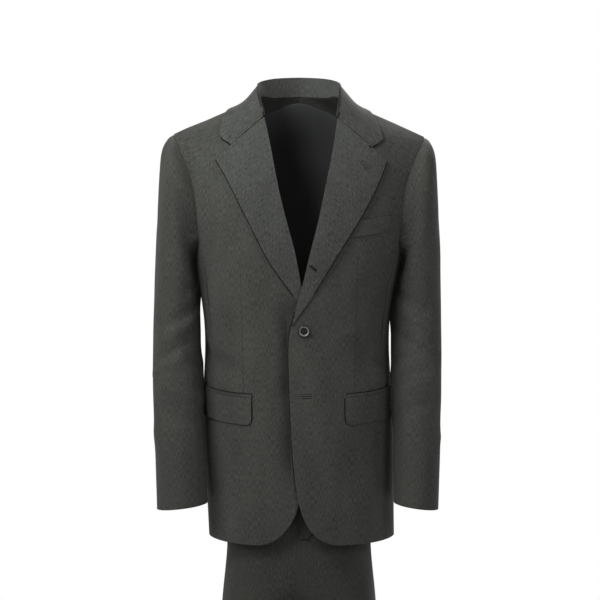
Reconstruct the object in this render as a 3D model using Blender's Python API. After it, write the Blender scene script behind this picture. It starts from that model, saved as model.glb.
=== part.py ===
# A two-piece suit, worn shape: a notch-lapel jacket and trousers, hollow inside.
# Z is up, the front faces -Y and the wearer's left is +X. z = 0 is the side neck point.
import math

import bmesh
import bpy
import numpy as np

MM = 0.001
WALL = 1.6 * MM
SLEEVE_WALL = 1.4 * MM
FOLDED_WALL = 1.5 * MM
TROUSER_WALL = 1.3 * MM
SEAM = 0.16 * MM
OVERLAP_LIFT = 4.6 * MM
OVERLAP_FROM = 20 * MM
OVERLAP_FADE = 55 * MM
LEAN = 4 * MM
SECTION_FLAT = 0.50
SECTION_ROUND = 0.34
SHOULDER_DROP = 1.14
NECK_STATION = 12.0
NECK_HALF_WIDTH = 70 * MM
BREAK_STATION = 4.5
GORGE_STATION = 12.85
ARMHOLE_STATION = 7.0
ARMHOLE_DIP = 0.52
SEAM_STATIONS = (0, 0.52, 1.2, 1.8, 2.6, 3.3, 3.9, 4.6, 5.1, 5.9, 6.4, 7.0)
SWAY_FROM = 150 * MM
FORE_SEAM = 0.36
BUTTON_RADIUS = 10 * MM
CUFF_BUTTON_RADIUS = 6.4 * MM
BUTTON_PLACE = (8.3, -379.7)
CUFF_BUTTON_SHARE = -0.075
CUFF_BUTTONS_AT = (528, 541, 554, 567)

# One row per level from the hem to the shoulder seam, in millimetres and degrees.
# The centre front and centre back, and the two seams beside the underarm: place and heading.
TORSO_COLUMNS = (
    "front_y front_z fore_x fore_y fore_z fore_turn hind_x hind_y hind_z hind_turn back_y back_z"
)
TORSO_ROWS = (
    (-134, -741, 143, -62, -741, 63, 141, 64, -741, 59, 124, -741),
    (-137, -650, 144.5, -62, -650, 63, 144, 65, -650, 59, 126, -650),
    (-135, -560, 146, -60, -560, 64, 148, 63, -560, 58, 122, -560),
    (-130, -475, 144.5, -57, -475, 66, 145.5, 58, -475, 59, 112, -475),
    (-126, -400, 142.5, -56, -400, 65, 142.5, 54, -400, 59, 104, -400),
    (-128, -340, 148.5, -57, -340, 65, 147.5, 56, -340, 59, 107, -340),
    (-131, -290, 158, -58, -290, 65, 157.5, 60, -290, 60, 115, -290),
    (-132, -243, 168, -52, -238, 62, 169, 56, -234, 60, 123, -240),
    (-129, -205, 171, -57, -205, 55, 172, 65, -198, 60, 128, -200),
    (-121, -160, 173.5, -57, -173, 48, 175, 68, -165, 55, 129, -155),
    (-109, -118, 178, -52, -144, 42, 181, 64, -138, 50, 126, -112),
    (-93, -80, 185, -44, -120, 36, 188, 55, -113, 44, 117, -68),
    (-70, -42, 194, -36, -98, 30, 197, 46, -92, 36, 76, 2),
    (-38, -6, 204, -20, -76, 20, 206, 29, -72, 22, 44, 19),
    (8, 28, 212, 5, -58, 0, 212, 5, -58, 0, 8, 28),
)

# How far the sides of the jacket hang over to the wearer's left, by level.
SWAY_COLUMNS = "z sway"
SWAY_ROWS = (
    (-741, 4.4),
    (-650, 1.6),
    (-560, -0.7),
    (-475, -3.0),
    (-400, -3.4),
    (-340, -3.8),
    (-290, -1.5),
    (-243, 0.0),
    (-200, 0.0),
    (-150, 0.0),
)

# The front edge and roll line: how far each front's edge stands from the middle, by level.
EDGE_COLUMNS = "station over under"
EDGE_ROWS = (
    (0.00, 62, 66),
    (0.05, 44, 48),
    (0.14, 31, 34.6),
    (0.32, 16, 18.7),
    (0.52, 7, 7.4),
    (0.80, -1, -1),
    (1.20, -7, -7),
    (1.80, -12, -11),
    (2.60, -15, -14),
    (3.30, -17, -15),
    (3.90, -18, -16),
    (4.30, -16, -16),
    (4.60, -10, -13),
    (5.10, -3.8, -8),
    (5.90, 8.2, -2.2),
    (6.40, 13.2, 2.2),
    (7.00, 19.9, 7.5),
    (8.00, 30, 18.3),
    (8.85, 38, 28.2),
    (9.80, 45.8, 36.6),
    (10.80, 53.2, 43.3),
    (11.80, 59.6, 50.1),
    (12.85, 64, 58),
    (13.40, 66.8, 63),
    (14.00, 70, 70),
)

# The lapels' outer edges from the peak down to the break, in millimetres.
LAPEL_COLUMNS = "z over under"
LAPEL_ROWS = (
    (-366, -9.0, -12.6),
    (-348, 3.3, -7.5),
    (-325, 19.5, 5.0),
    (-297, 36.5, 26.1),
    (-265, 55.5, 48.2),
    (-229, 78.0, 68.1),
    (-204, 93.5, 80.1),
    (-165, 115.0, 100.2),
    (-128, 133.0, 118.5),
    (-97, 145.5, 137.3),
)
NOTCH = (116.4, -72)

# The collar: its fold line and the outer edge of its fall, from the gorge to the centre back.
COLLAR_COLUMNS = "fold_x fold_y fold_z edge_x edge_y edge_z"
COLLAR_ROWS = (
    (61, -50, -27, 136.5, -43, -58.5),
    (64.4, -35, -13, 132.5, -26, -41),
    (67.5, -17, 3, 127, -9, -26),
    (69.5, 4, 17, 120, 8, -15),
    (69, 25, 25, 108, 38, -17),
    (61, 46, 29, 91, 62, -16),
    (44, 64, 31.5, 66, 79, -14.5),
    (23, 75, 32.5, 35, 88, -13),
    (0, 78.5, 33, 0, 91, -12),
)

# Sleeve rings from just outside the armhole to the cuff, and how far the left one's edges stand in.
SLEEVE_COLUMNS = (
    "along outer_x outer_z inner_x inner_z mid_y half_depth bow left_outer left_inner"
)
SLEEVE_ROWS = (
    (11, 222, -65, 180, -273, 4, 68, 15, 1, 1),
    (27, 231.5, -79, 181, -281, 2, 72, 8, 2, 3),
    (55, 235.5, -106, 178, -293, 0, 73, 3, 2.5, 4),
    (105, 238.5, -157, 172.5, -313, -3, 72, 0, 3, 5),
    (165, 242, -222, 168, -342, -6, 69, 0, 3, 6),
    (235, 245, -300, 165.5, -384, -11, 65, 0, 4.5, 6.5),
    (310, 247, -380, 165, -432, -22, 61, 0, 5.5, 7),
    (385, 248, -458, 163, -488, -36, 57, 0, 6.3, 4),
    (460, 246.5, -535, 159.5, -552, -48, 53, 0, 6.5, 1),
    (530, 242.5, -606, 156, -614, -58, 49, 0, 4.2, -2.6),
    (605, 240.5, -687, 153, -676, -67, 45.5, 0, 4.5, -6),
)

# Soft folds of the body: a line in the front view, its half width and how far it lifts the cloth.
# Columns: x1, z1, x2, z2, width and lift.
RIGHT_BODY_FOLDS = (
    (150, -425, 108, -455, 14, -2.6),
    (152, -405, 112, -428, 12, 2.0),
    (146, -472, 112, -478, 12, 1.8),
    (150, -330, 132, -262, 16, -2.4),
)
LEFT_BODY_FOLDS = (
    (104, -400, 128, -452, 13, -2.6),
    (128, -415, 150, -460, 12, 2.2),
    (150, -400, 118, -372, 13, -2.0),
    (150, -330, 134, -262, 16, -2.2),
)

# Folds of the sleeves: share of the way round from the outer edge by the front, distance along.
# Columns: share1, along1, share2, along2, width and lift.
SLEEVE_FOLDS = (
    (0.20, 265, 0.44, 322, 13, -3.0),
    (0.14, 300, 0.40, 352, 12, 2.4),
    (0.18, 352, 0.42, 378, 13, -2.8),
    (0.06, 420, 0.34, 398, 14, 2.2),
    (0.04, 462, 0.30, 428, 13, -2.2),
    (0.10, 510, 0.36, 478, 14, 1.8),
    (0.70, 330, 0.94, 372, 16, -2.0),
    (0.68, 410, 0.92, 396, 15, 1.8),
)

# Trousers, one row per level: the edge at the middle or inseam, and the side seam.
TROUSER_COLUMNS = "in_x in_y in_z in_turn in_reach out_x out_y out_z out_reach"
TROUSER_FRONT_ROWS = (
    (0.2, -104, -562, 0, 72, 128, 2, -560, 84),
    (0.2, -112, -640, 0, 70, 127, 2, -640, 94),
    (0.2, -117, -700, 0, 68, 123, 2, -700, 100),
    (0.2, -119, -750, 0, 66, 121.5, 2, -750, 104),
    (0.2, -118, -800, 0, 62, 126, 2, -800, 108),
    (0.2, -107, -838, -14, 60, 130, 2, -838, 118),
    (0.2, -62, -864, -50, 84, 132, 2, -864, 134),
    (1.2, 4, -876, -86, 140, 132.5, 2, -885, 140),
    (4, 4, -940, -90, 137, 130, 3, -940, 137),
    (9, 4, -1060, -90, 123, 123, 3, -1060, 123),
    (14, 4, -1200, -90, 106, 117, 4, -1200, 106),
    (18, 4, -1400, -90, 96, 112, 4, -1400, 96),
    (20, 4, -1605, -90, 100, 110, 4, -1600, 100),
)
TROUSER_BACK_ROWS = (
    (0.2, 98, -562, 0, 72, 128, 2, -560, 84),
    (0.2, 108, -640, 0, 70, 127, 2, -640, 98),
    (0.2, 112, -700, 0, 68, 123, 2, -700, 106),
    (0.2, 116, -750, 0, 68, 121.5, 2, -750, 116),
    (0.2, 116, -800, 0, 66, 126, 2, -800, 120),
    (0.2, 109, -838, -13, 66, 130, 2, -838, 128),
    (0.2, 72, -864, -42, 86, 132, 2, -864, 138),
    (1.2, 4.6, -876, -84, 143, 132.5, 2, -885, 143),
    (4, 4.6, -940, -90, 140, 130, 3, -940, 140),
    (9, 4.6, -1060, -90, 124, 123, 3, -1060, 124),
    (14, 4.6, -1200, -90, 108, 117, 4, -1200, 108),
    (18, 4.6, -1400, -90, 98, 112, 4, -1400, 98),
    (20, 4.6, -1605, -90, 102, 110, 4, -1600, 102),
)
TROUSER_LEVELS = (0, 1.5, 3, 3.7, 4.3, 4.8, 5.3, 5.7, 6.1, 6.5, 7, 7.5, 8, 8.6, 9.3, 10, 11, 12)

CHARCOAL = (0.052, 0.053, 0.048, 1)
CHARCOAL_LIGHT = (0.066, 0.067, 0.064, 1)
LINING_GREY = (0.045, 0.046, 0.047, 1)
HORN_DARK = (0.012, 0.011, 0.01, 1)


def columns(names, rows, angles=(), plain=()):
    # A table as one array per named column, in metres or, for angles, in radians.
    found = {}
    for number, name in enumerate(names.split()):
        values = np.array([row[number] for row in rows], float)
        if name in angles:
            found[name] = np.radians(values)
        elif name in plain:
            found[name] = values
        else:
            found[name] = values * MM
    return found


def over_shoulder(table):
    # Each line runs on past the shoulder seam as the line that comes up on the other side.
    partner = {"front": "back", "back": "front", "fore": "hind", "hind": "fore"}
    longer = {}
    for name, values in table.items():
        place, kind = name.split("_")
        beyond = table[partner[place] + "_" + kind][-2]
        if kind == "turn":
            beyond = -beyond
        longer[name] = np.append(values, beyond)
    return longer


TORSO = columns(TORSO_COLUMNS, TORSO_ROWS, angles=("fore_turn", "hind_turn"))
TORSO = over_shoulder(TORSO)
SWAY = columns(SWAY_COLUMNS, SWAY_ROWS)
EDGE = columns(EDGE_COLUMNS, EDGE_ROWS, plain=("station",))
LAPEL = columns(LAPEL_COLUMNS, LAPEL_ROWS)
COLLAR = columns(COLLAR_COLUMNS, COLLAR_ROWS)
SLEEVE = columns(SLEEVE_COLUMNS, SLEEVE_ROWS)
TROUSER_FRONT = columns(TROUSER_COLUMNS, TROUSER_FRONT_ROWS, angles=("in_turn",))
TROUSER_BACK = columns(TROUSER_COLUMNS, TROUSER_BACK_ROWS, angles=("in_turn",))


def smooth(values, place):
    # The value at a real row number, on a curve through the rows.
    last = len(values) - 1
    place = np.clip(place, 0.0, last)
    low = np.minimum(np.floor(place).astype(int), last - 1)
    slope = np.gradient(values)
    step = place - low
    return (
        (2 * step**3 - 3 * step**2 + 1) * values[low]
        + (step**3 - 2 * step**2 + step) * slope[low]
        + (3 * step**2 - 2 * step**3) * values[low + 1]
        + (step**3 - step**2) * slope[low + 1]
    )


def ease(value):
    value = np.clip(value, 0.0, 1.0)
    return value * value * (3 - 2 * value)


def bezier(share, first, second, third, fourth):
    rest = 1 - share
    return (
        rest**3 * first
        + 3 * rest**2 * share * second
        + 3 * rest * share**2 * third
        + share**3 * fourth
    )


def half_section(share, station, end, middle, facing):
    # One half of the front or back, from the centre line out to the underarm seam or armhole.
    middle_y = smooth(TORSO[middle + "_y"], station)
    middle_z = smooth(TORSO[middle + "_z"], station)
    end_x = smooth(TORSO[end + "_x"], station)
    end_y = smooth(TORSO[end + "_y"], station)
    end_z = smooth(TORSO[end + "_z"], station)
    turn = smooth(TORSO[end + "_turn"], station)
    chord = np.hypot(end_x, end_y - middle_y)
    along = np.abs(share)
    near_x = SECTION_FLAT * chord
    far_x = end_x - SECTION_ROUND * chord * np.cos(turn)
    far_y = end_y + facing * SECTION_ROUND * chord * np.sin(turn)
    x = bezier(along, 0.0, near_x, far_x, end_x)
    y = bezier(along, middle_y, middle_y, far_y, end_y)
    z = middle_z + (end_z - middle_z) * (x / end_x) ** SHOULDER_DROP
    return np.stack([x * np.where(share < 0, -1, 1), y, z], axis=-1)


def front(share, station):
    return half_section(share, station, "fore", "front", -1)


def back(share, station):
    return half_section(share, station, "hind", "back", 1)


def side(share, station):
    # The side panel between the two underarm seams, smooth with both.
    fore = [smooth(TORSO["fore_" + axis], station) for axis in "xyz"]
    hind = [smooth(TORSO["hind_" + axis], station) for axis in "xyz"]
    fore_turn = smooth(TORSO["fore_turn"], station)
    hind_turn = smooth(TORSO["hind_turn"], station)
    reach = 0.36 * np.hypot(hind[0] - fore[0], hind[1] - fore[1])
    x = bezier(
        share,
        fore[0],
        fore[0] + reach * np.cos(fore_turn),
        hind[0] + reach * np.cos(hind_turn),
        hind[0],
    )
    y = bezier(
        share,
        fore[1],
        fore[1] + reach * np.sin(fore_turn),
        hind[1] - reach * np.sin(hind_turn),
        hind[1],
    )
    z = fore[2] + (hind[2] - fore[2]) * share
    return np.stack([x, y, z], axis=-1)


def unit(vectors):
    return vectors / np.maximum(np.linalg.norm(vectors, axis=-1, keepdims=True), 1e-12)


def normals(surface, across, up, turned=1):
    step = 1e-3
    along = surface(across + step, up) - surface(across - step, up)
    rise = surface(across, up + step) - surface(across, up - step)
    return unit(np.cross(along, rise)) * turned


def share_at(surface, x, station):
    # The share across the section at which it reaches this x.
    shares = np.linspace(-0.5, 1.0, 301)
    reached = surface(shares, np.full_like(shares, station))[:, 0]
    return float(np.interp(x, reached, shares))


def find_on_front(x, z):
    # The share and station of points given in the front view, by Newton's method.
    shape = np.shape(x)
    x = np.asarray(x, float).ravel()
    z = np.asarray(z, float).ravel()
    share = np.clip(np.abs(x) / 0.19, 0.02, 0.95) * np.sign(x + 1e-9)
    station = np.interp(z, TORSO["front_z"][:-1], np.arange(len(TORSO_ROWS)))
    station = station + 2 * np.abs(share)
    step = 1e-4
    for _ in range(60):
        here = front(share, station)
        across = (front(share + step, station) - here) / step
        up = (front(share, station + step) - here) / step
        det = across[:, 0] * up[:, 2] - across[:, 2] * up[:, 0]
        det = np.where(np.abs(det) < 1e-9, 1e-9, det)
        miss_x = x - here[:, 0]
        miss_z = z - here[:, 2]
        share += np.clip((miss_x * up[:, 2] - miss_z * up[:, 0]) / det, -0.08, 0.08)
        station += np.clip((across[:, 0] * miss_z - across[:, 2] * miss_x) / det, -0.6, 0.6)
        share = np.clip(share, -0.4, 1.1)
        station = np.clip(station, 0.0, len(TORSO_ROWS) - 1.001)
    return share.reshape(shape), station.reshape(shape)


def line_lift(first, second, rows, first_scale=1.0):
    # How far the folds of a table lift each point of the cloth.
    total = np.zeros(np.shape(first))
    for a1, b1, a2, b2, width, lift in rows:
        run = np.array([(a2 - a1) * first_scale, b2 - b1])
        offset_a = (first - a1) * first_scale
        offset_b = second - b1
        place = np.clip((offset_a * run[0] + offset_b * run[1]) / (run @ run), 0.0, 1.0)
        away = np.hypot(offset_a - place * run[0], offset_b - place * run[1])
        fade = np.sin(np.pi * np.clip(0.15 + 0.7 * place, 0, 1))
        total += lift * MM * np.exp(-((away / width) ** 2)) * fade
    return total


def overlap_lift(x):
    return OVERLAP_LIFT * (1 - ease((x - OVERLAP_FROM) / OVERLAP_FADE))


def body_lift(points, hand):
    # The over front stands out at the overlap; the folds are each side's own.
    x = points[..., 0]
    z = points[..., 2]
    if hand > 0:
        return overlap_lift(x) + line_lift(x / MM, z / MM, LEFT_BODY_FOLDS)
    return line_lift(x / MM, z / MM, RIGHT_BODY_FOLDS)


def draw_in(points, sides="ablr", gap=SEAM):
    # Moves the borders of a grid in from their seams: a = last row, b = first row.
    pairs = {
        "b": (points[0], points[1].copy()),
        "a": (points[-1], points[-2].copy()),
        "l": (points[:, 0], points[:, 1].copy()),
        "r": (points[:, -1], points[:, -2].copy()),
    }
    for name in sides:
        border, inner = pairs[name]
        border += unit(inner - border) * gap
    return points


def make_solid(name, outer, inner, colour, closed=False, roughness=0.85):
    # One closed wall between two grids of points, rows by columns.
    rows, count = outer.shape[:2]
    mesh = bmesh.new()
    front_verts = [[mesh.verts.new(point) for point in row] for row in outer]
    back_verts = [[mesh.verts.new(point) for point in row] for row in inner]
    spans = count if closed else count - 1
    for row in range(rows - 1):
        for span in range(spans):
            after = (span + 1) % count
            for verts in (front_verts, back_verts):
                quad = (
                    verts[row][span],
                    verts[row][after],
                    verts[row + 1][after],
                    verts[row + 1][span],
                )
                mesh.faces.new(quad)
    for row in (0, rows - 1):
        for span in range(spans):
            after = (span + 1) % count
            mesh.faces.new(
                (
                    front_verts[row][span],
                    front_verts[row][after],
                    back_verts[row][after],
                    back_verts[row][span],
                )
            )
    if not closed:
        for row in range(rows - 1):
            for span in (0, count - 1):
                mesh.faces.new(
                    (
                        front_verts[row][span],
                        front_verts[row + 1][span],
                        back_verts[row + 1][span],
                        back_verts[row][span],
                    )
                )
    finish_mesh(name, mesh, colour, roughness)


def finish_mesh(name, mesh, colour, roughness):
    bmesh.ops.recalc_face_normals(mesh, faces=mesh.faces)
    bmesh.ops.triangulate(mesh, faces=mesh.faces)
    if mesh.calc_volume(signed=True) < 0:
        bmesh.ops.reverse_faces(mesh, faces=mesh.faces)
    data = bpy.data.meshes.new(name)
    mesh.to_mesh(data)
    mesh.free()
    data.polygons.foreach_set("use_smooth", [True] * len(data.polygons))
    data.set_sharp_from_angle(angle=math.radians(50))
    material = bpy.data.materials.new(name + "_surface")
    material.use_nodes = True
    shader = material.node_tree.nodes["Principled BSDF"]
    shader.inputs["Base Color"].default_value = colour
    shader.inputs["Roughness"].default_value = roughness
    data.materials.append(material)
    bpy.context.collection.objects.link(bpy.data.objects.new(name, data))


def hand_name(hand):
    return "left" if hand > 0 else "right"


def turn_over(points, hand):
    # The wearer's right side is the mirror of the left.
    points = points.copy()
    points[..., 0] *= hand
    return points


def settle(points, hand):
    # The body hangs a little to one side, more so the farther out.
    points = turn_over(points, hand)
    row = np.interp(points[..., 2], SWAY["z"], np.arange(len(SWAY_ROWS)))
    points[..., 0] += smooth(SWAY["sway"], row) * ease(np.abs(points[..., 0]) / SWAY_FROM)
    return points


def front_grid(hand):
    edge = EDGE["over"] if hand > 0 else EDGE["under"]
    stations = EDGE["station"]
    shares = []
    for station, x in zip(stations, edge):
        start = share_at(front, x, station)
        shares.append(np.linspace(start, 1.0, 13))
    return np.array(shares), np.repeat(stations[:, None], 13, axis=1)


def build_front(hand):
    share, station = front_grid(hand)
    points = front(share, station)
    facing = normals(front, share, station)
    facing[-1] = shoulder_facing(points[-1])
    lift = body_lift(points, hand)[..., None]
    points = draw_in(points)
    outer = settle(points + facing * lift, hand)
    inner = settle(points + facing * (lift - WALL), hand)
    make_solid("front_" + hand_name(hand), outer, inner, CHARCOAL)


def shoulder_facing(seam):
    # At the shoulder seam both panels end square to the ridge.
    run = np.gradient(seam, axis=0)
    return unit(np.stack([-run[:, 2], np.zeros(len(seam)), run[:, 0]], axis=-1))


def build_side(hand):
    rows = np.array(SEAM_STATIONS) / ARMHOLE_STATION
    share = np.repeat(np.linspace(0, 1, 7)[None], len(rows), axis=0)
    top = ARMHOLE_STATION - ARMHOLE_DIP * 4 * share * (1 - share)
    station = top * rows[:, None]
    points = side(share, station)
    facing = normals(side, share, station)
    points = draw_in(points)
    outer = settle(points, hand)
    inner = settle(points - facing * WALL, hand)
    make_solid("side_" + hand_name(hand), outer, inner, CHARCOAL)


def neck_x(station):
    # Half width of the back neckline at a station above the neck point.
    return NECK_HALF_WIDTH * np.sqrt(np.clip((station - NECK_STATION) / 2, 0, 1))


def back_grid():
    lower = np.array(SEAM_STATIONS + (7.8, 8.6, 9.4, 10.2, 11.0, 11.6, NECK_STATION))
    upper = NECK_STATION + np.array([0.05, 0.16, 0.36, 0.7, 1.1, 1.55, 2.0])
    stations = np.concatenate([lower, upper])
    shares = []
    for station in stations:
        start = share_at(back, neck_x(station), station)
        shares.append(np.linspace(start, 1.0, 10))
    return np.array(shares), np.repeat(stations[:, None], 10, axis=1)


def build_back(hand):
    share, station = back_grid()
    points = back(share, station)
    facing = normals(back, share, station, -1)
    facing[-1] = shoulder_facing(points[-1])
    points = draw_in(points)
    outer = settle(points, hand)
    inner = settle(points - facing * WALL, hand)
    make_solid("back_" + hand_name(hand), outer, inner, CHARCOAL)


def build_back_lining():
    share = np.repeat(np.linspace(-0.8, 0.8, 15)[None], 9, axis=0)
    station = np.repeat(np.linspace(4.6, NECK_STATION - 0.1, 9)[:, None], 15, axis=1)
    points = back(share, station)
    facing = normals(back, share, station, -1)
    outer = settle(points - facing * (WALL + 2.0 * MM), 1)
    inner = settle(points - facing * (WALL + 3.0 * MM), 1)
    make_solid("back_lining", outer, inner, LINING_GREY, roughness=0.5)


def resample(line, shares):
    # Points at these shares of a polyline's length.
    length = np.concatenate([[0], np.cumsum(np.linalg.norm(np.diff(line, axis=0), axis=1))])
    length /= length[-1]
    return np.stack([np.interp(shares, length, line[:, k]) for k in range(line.shape[1])], axis=-1)


def coons(left, right, bottom, top, across, up):
    # A patch blended from its four borders.
    u = across[None, :, None]
    v = up[:, None, None]
    straight = (1 - u) * left[:, None] + u * right[:, None]
    hanging = (1 - v) * bottom[None] + v * top[None]
    corners = (
        (1 - u) * (1 - v) * left[0]
        + u * (1 - v) * right[0]
        + (1 - u) * v * left[-1]
        + u * v * right[-1]
    )
    return straight + hanging - corners


def roll_line(hand, first, last, count):
    # The roll line in the front view, from one station up to another.
    edge = EDGE["over"] if hand > 0 else EDGE["under"]
    line = []
    for station in np.linspace(first, last, count):
        x = np.interp(station, EDGE["station"], edge)
        point = front(np.array(share_at(front, x, station)), np.array(station))
        line.append((point[0], point[2]))
    return np.array(line)


def gorge_line(hand):
    # From the roll line along the gorge seam to the notch.
    top = roll_line(hand, GORGE_STATION, GORGE_STATION, 1)[0]
    notch = np.array([NOTCH[0] * MM + hand * LEAN, NOTCH[1] * MM])
    return top, notch


def build_lapel(hand):
    across = np.array([0, 0.1, 0.22, 0.36, 0.5, 0.66, 0.83, 1.0])
    up = np.linspace(0, 1, 19)
    top, notch = gorge_line(hand)
    left = resample(roll_line(hand, BREAK_STATION, GORGE_STATION, 60), up)
    edge = LAPEL["over"] if hand > 0 else LAPEL["under"]
    right = resample(np.stack([edge, LAPEL["z"]], axis=-1), up)
    gorge = top + (notch - top) * across[:6, None] / 0.66
    beyond = notch + (right[-1] - notch) * (across[6:, None] - 0.66) / 0.34
    border = np.concatenate([gorge, beyond])
    bottom = left[0] + (right[0] - left[0]) * across[:, None]
    plan = coons(left, right, bottom, border, across, up)
    share, station = find_on_front(plan[..., 0], plan[..., 1])
    points = front(share, station)
    facing = normals(front, share, station)
    free = ease(across[None] / 0.4) * ease((up[:, None] - 0.15) / 0.25)
    lift = (body_lift(points, hand) + 0.8 * MM + 1.6 * MM * free)[..., None]
    points = draw_in(points)
    outer = settle(points + facing * (lift + FOLDED_WALL), hand)
    inner = settle(points + facing * lift, hand)
    make_solid("lapel_" + hand_name(hand), outer, inner, CHARCOAL_LIGHT)


def body_samples():
    share, station = np.meshgrid(np.linspace(-0.05, 1, 90), np.linspace(9, 14, 110))
    fore = front(share, station).reshape(-1, 3)
    hind = back(share, station).reshape(-1, 3)
    places = np.concatenate([fore, hind])
    facing = np.concatenate(
        [
            normals(front, share, station).reshape(-1, 3),
            normals(back, share, station, -1).reshape(-1, 3),
        ]
    )
    return places, facing


def push_out(points, least, samples):
    # Moves points that stand closer to the body than allowed out along its facing.
    places, facing = samples
    flat = points.reshape(-1, 3)
    least = np.broadcast_to(least, points.shape[:-1]).reshape(-1)
    for number in range(len(flat)):
        nearest = int(np.argmin(((places - flat[number]) ** 2).sum(axis=1)))
        height = (flat[number] - places[nearest]) @ facing[nearest]
        if height < least[number]:
            flat[number] += facing[nearest] * (least[number] - height)
    return flat.reshape(points.shape)


def neckline(hand, count):
    # Points just inside the neck edge, from the gorge over the shoulder to the centre back.
    line = []
    edge = EDGE["over"] if hand > 0 else EDGE["under"]
    for station in np.linspace(GORGE_STATION, 14.0, 12):
        share = share_at(front, np.interp(station, EDGE["station"], edge), station)
        line.append(neck_point(front, share, station, 1))
    for station in 14.0 - 2.0 * np.linspace(0.06, 1, 24) ** 0.6:
        share = share_at(back, neck_x(station), station)
        line.append(neck_point(back, share, station, -1))
    line[-1][0] = 0.0
    return resample(np.array(line), np.linspace(0, 1, count))


def neck_point(surface, share, station, turned):
    share = np.array(share)
    station = np.array(station)
    point = surface(share, station)
    facing = normals(surface, share, station, turned)
    inward = np.array([-point[0], 0.02 - point[1], 0.05])
    inward -= facing * (inward @ facing)
    return point - facing * 0.8 * MM + unit(inward) * 1.3 * MM


def collar_half(hand, samples):
    count = 15
    up = np.linspace(0, 1, count)
    place = up * (len(COLLAR_ROWS) - 1)
    fold = np.stack([smooth(COLLAR["fold_" + axis], place) for axis in "xyz"], axis=-1)
    edge = np.stack([smooth(COLLAR["edge_" + axis], place) for axis in "xyz"], axis=-1)
    lean = hand * LEAN * (1 - ease(up / 0.35))
    fold[:, 0] += lean
    edge[:, 0] += lean
    seam = neckline(hand, count)
    top, notch = gorge_line(hand)
    share, station = find_on_front(np.array([top[0], notch[0]]), np.array([top[1], notch[1]]))
    ends = front(share, station) + normals(front, share, station) * 3.4 * MM
    fold[0] = ends[0]
    across = np.array([0, 0.11, 0.26, 0.42, 0.58, 0.74, 1.0])
    gorge = fold[0] + (ends[1] - fold[0]) * across[:6, None] / 0.74
    gorge = np.concatenate([gorge, edge[:1]])
    centre = fold[-1] + (edge[-1] - fold[-1]) * across[:, None]
    leaf = coons(fold, edge, gorge, centre, across, up)
    out = unit(leaf[:, 1] - leaf[:, 0])
    along = unit(np.gradient(fold, axis=0))
    rise = unit(np.cross(out, along)) * -1
    rise *= np.sign((rise * [0, 0, 1]).sum(axis=1) + 1e-9)[:, None]
    swell = np.sin(np.pi * across)[None, :, None] * 3.0 * MM * ease(up / 0.3)[:, None, None]
    leaf = leaf + rise[:, None] * swell
    clear = (0.8 + 1.6 * ease(across[None] / 0.4) + 0.75) * MM + 0.0 * up[:, None]
    leaf[:, 1:] = push_out(leaf[:, 1:], clear[:, 1:], samples)
    leaf[:, 0] = leaf[:, 0] + out * 1.5 * MM
    crown = fold + rise * 1.5 * MM
    inside = fold - out * 1.5 * MM
    down = np.array([1.0, 0.66, 0.33, 0.0])[None, :, None]
    stand = inside[:, None] + (seam - inside)[:, None] * down
    return np.concatenate([stand, crown[:, None], leaf], axis=1)


def build_collar():
    samples = body_samples()
    left = collar_half(1, samples)
    right = turn_over(collar_half(-1, samples), -1)
    left[-1, :, 0] = 0.0
    middle = np.concatenate([right, left[:-1][::-1]], axis=0)
    draw_in(middle, "ab")
    facing = grid_facing(middle)
    half = FOLDED_WALL / 2
    make_solid("collar", middle + facing * half, middle - facing * half, CHARCOAL_LIGHT)


def grid_facing(points):
    across = np.gradient(points, axis=1)
    along = np.gradient(points, axis=0)
    return unit(np.cross(unit(across), unit(along)))


def armhole_loop(hand, count):
    # Points round the armhole from the shoulder tip down the front and up the back.
    steps = np.linspace(0, 1, 60)
    fore = [14 - 7 * s for s in steps]
    line = [rail_point(front, 1.0, s, 1) for s in fore]
    line += [underarm_point(s) for s in steps[1:-1]]
    line += [rail_point(back, 1.0, 7 + 7 * s, -1) for s in steps]
    line = np.array(line)
    return resample(line, np.arange(count) / count)


def rail_point(surface, share, station, turned):
    share = np.array(share)
    station = np.array(station)
    point = surface(share, station)
    beyond = unit(point - surface(share - 0.01, station))
    return point + beyond * 0.5 * MM


def underarm_point(share):
    share = np.array(share)
    station = ARMHOLE_STATION - ARMHOLE_DIP * 4 * share * (1 - share)
    point = side(share, station)
    beyond = unit(point - side(share, station - 0.05))
    return point + beyond * 0.5 * MM + normals(side, share, station) * 0.4 * MM


def sleeve_rings(hand, count):
    # The armhole loop and every ring of the table, each with this many points.
    turn = np.arange(count) / count * math.tau
    rings = [armhole_loop(hand, count)]
    for row in range(len(SLEEVE_ROWS)):
        ring = {name: values[row] for name, values in SLEEVE.items()}
        outer_x = ring["outer_x"]
        inner_x = ring["inner_x"]
        if hand > 0:
            outer_x -= ring["left_outer"]
            inner_x -= ring["left_inner"]
        middle_x = (outer_x + inner_x) / 2
        middle_z = (ring["outer_z"] + ring["inner_z"]) / 2
        reach_x = (outer_x - inner_x) / 2
        reach_z = (ring["outer_z"] - ring["inner_z"]) / 2
        cosine = np.sign(np.cos(turn)) * np.abs(np.cos(turn)) ** 0.94
        sine = np.sign(np.sin(turn)) * np.abs(np.sin(turn)) ** 0.94
        x = middle_x + cosine * reach_x - ring["bow"] * np.sin(turn) ** 2
        y = ring["mid_y"] - sine * ring["half_depth"]
        z = middle_z + cosine * reach_z
        rings.append(np.stack([x, y, z], axis=-1))
    return np.array(rings)


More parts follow.
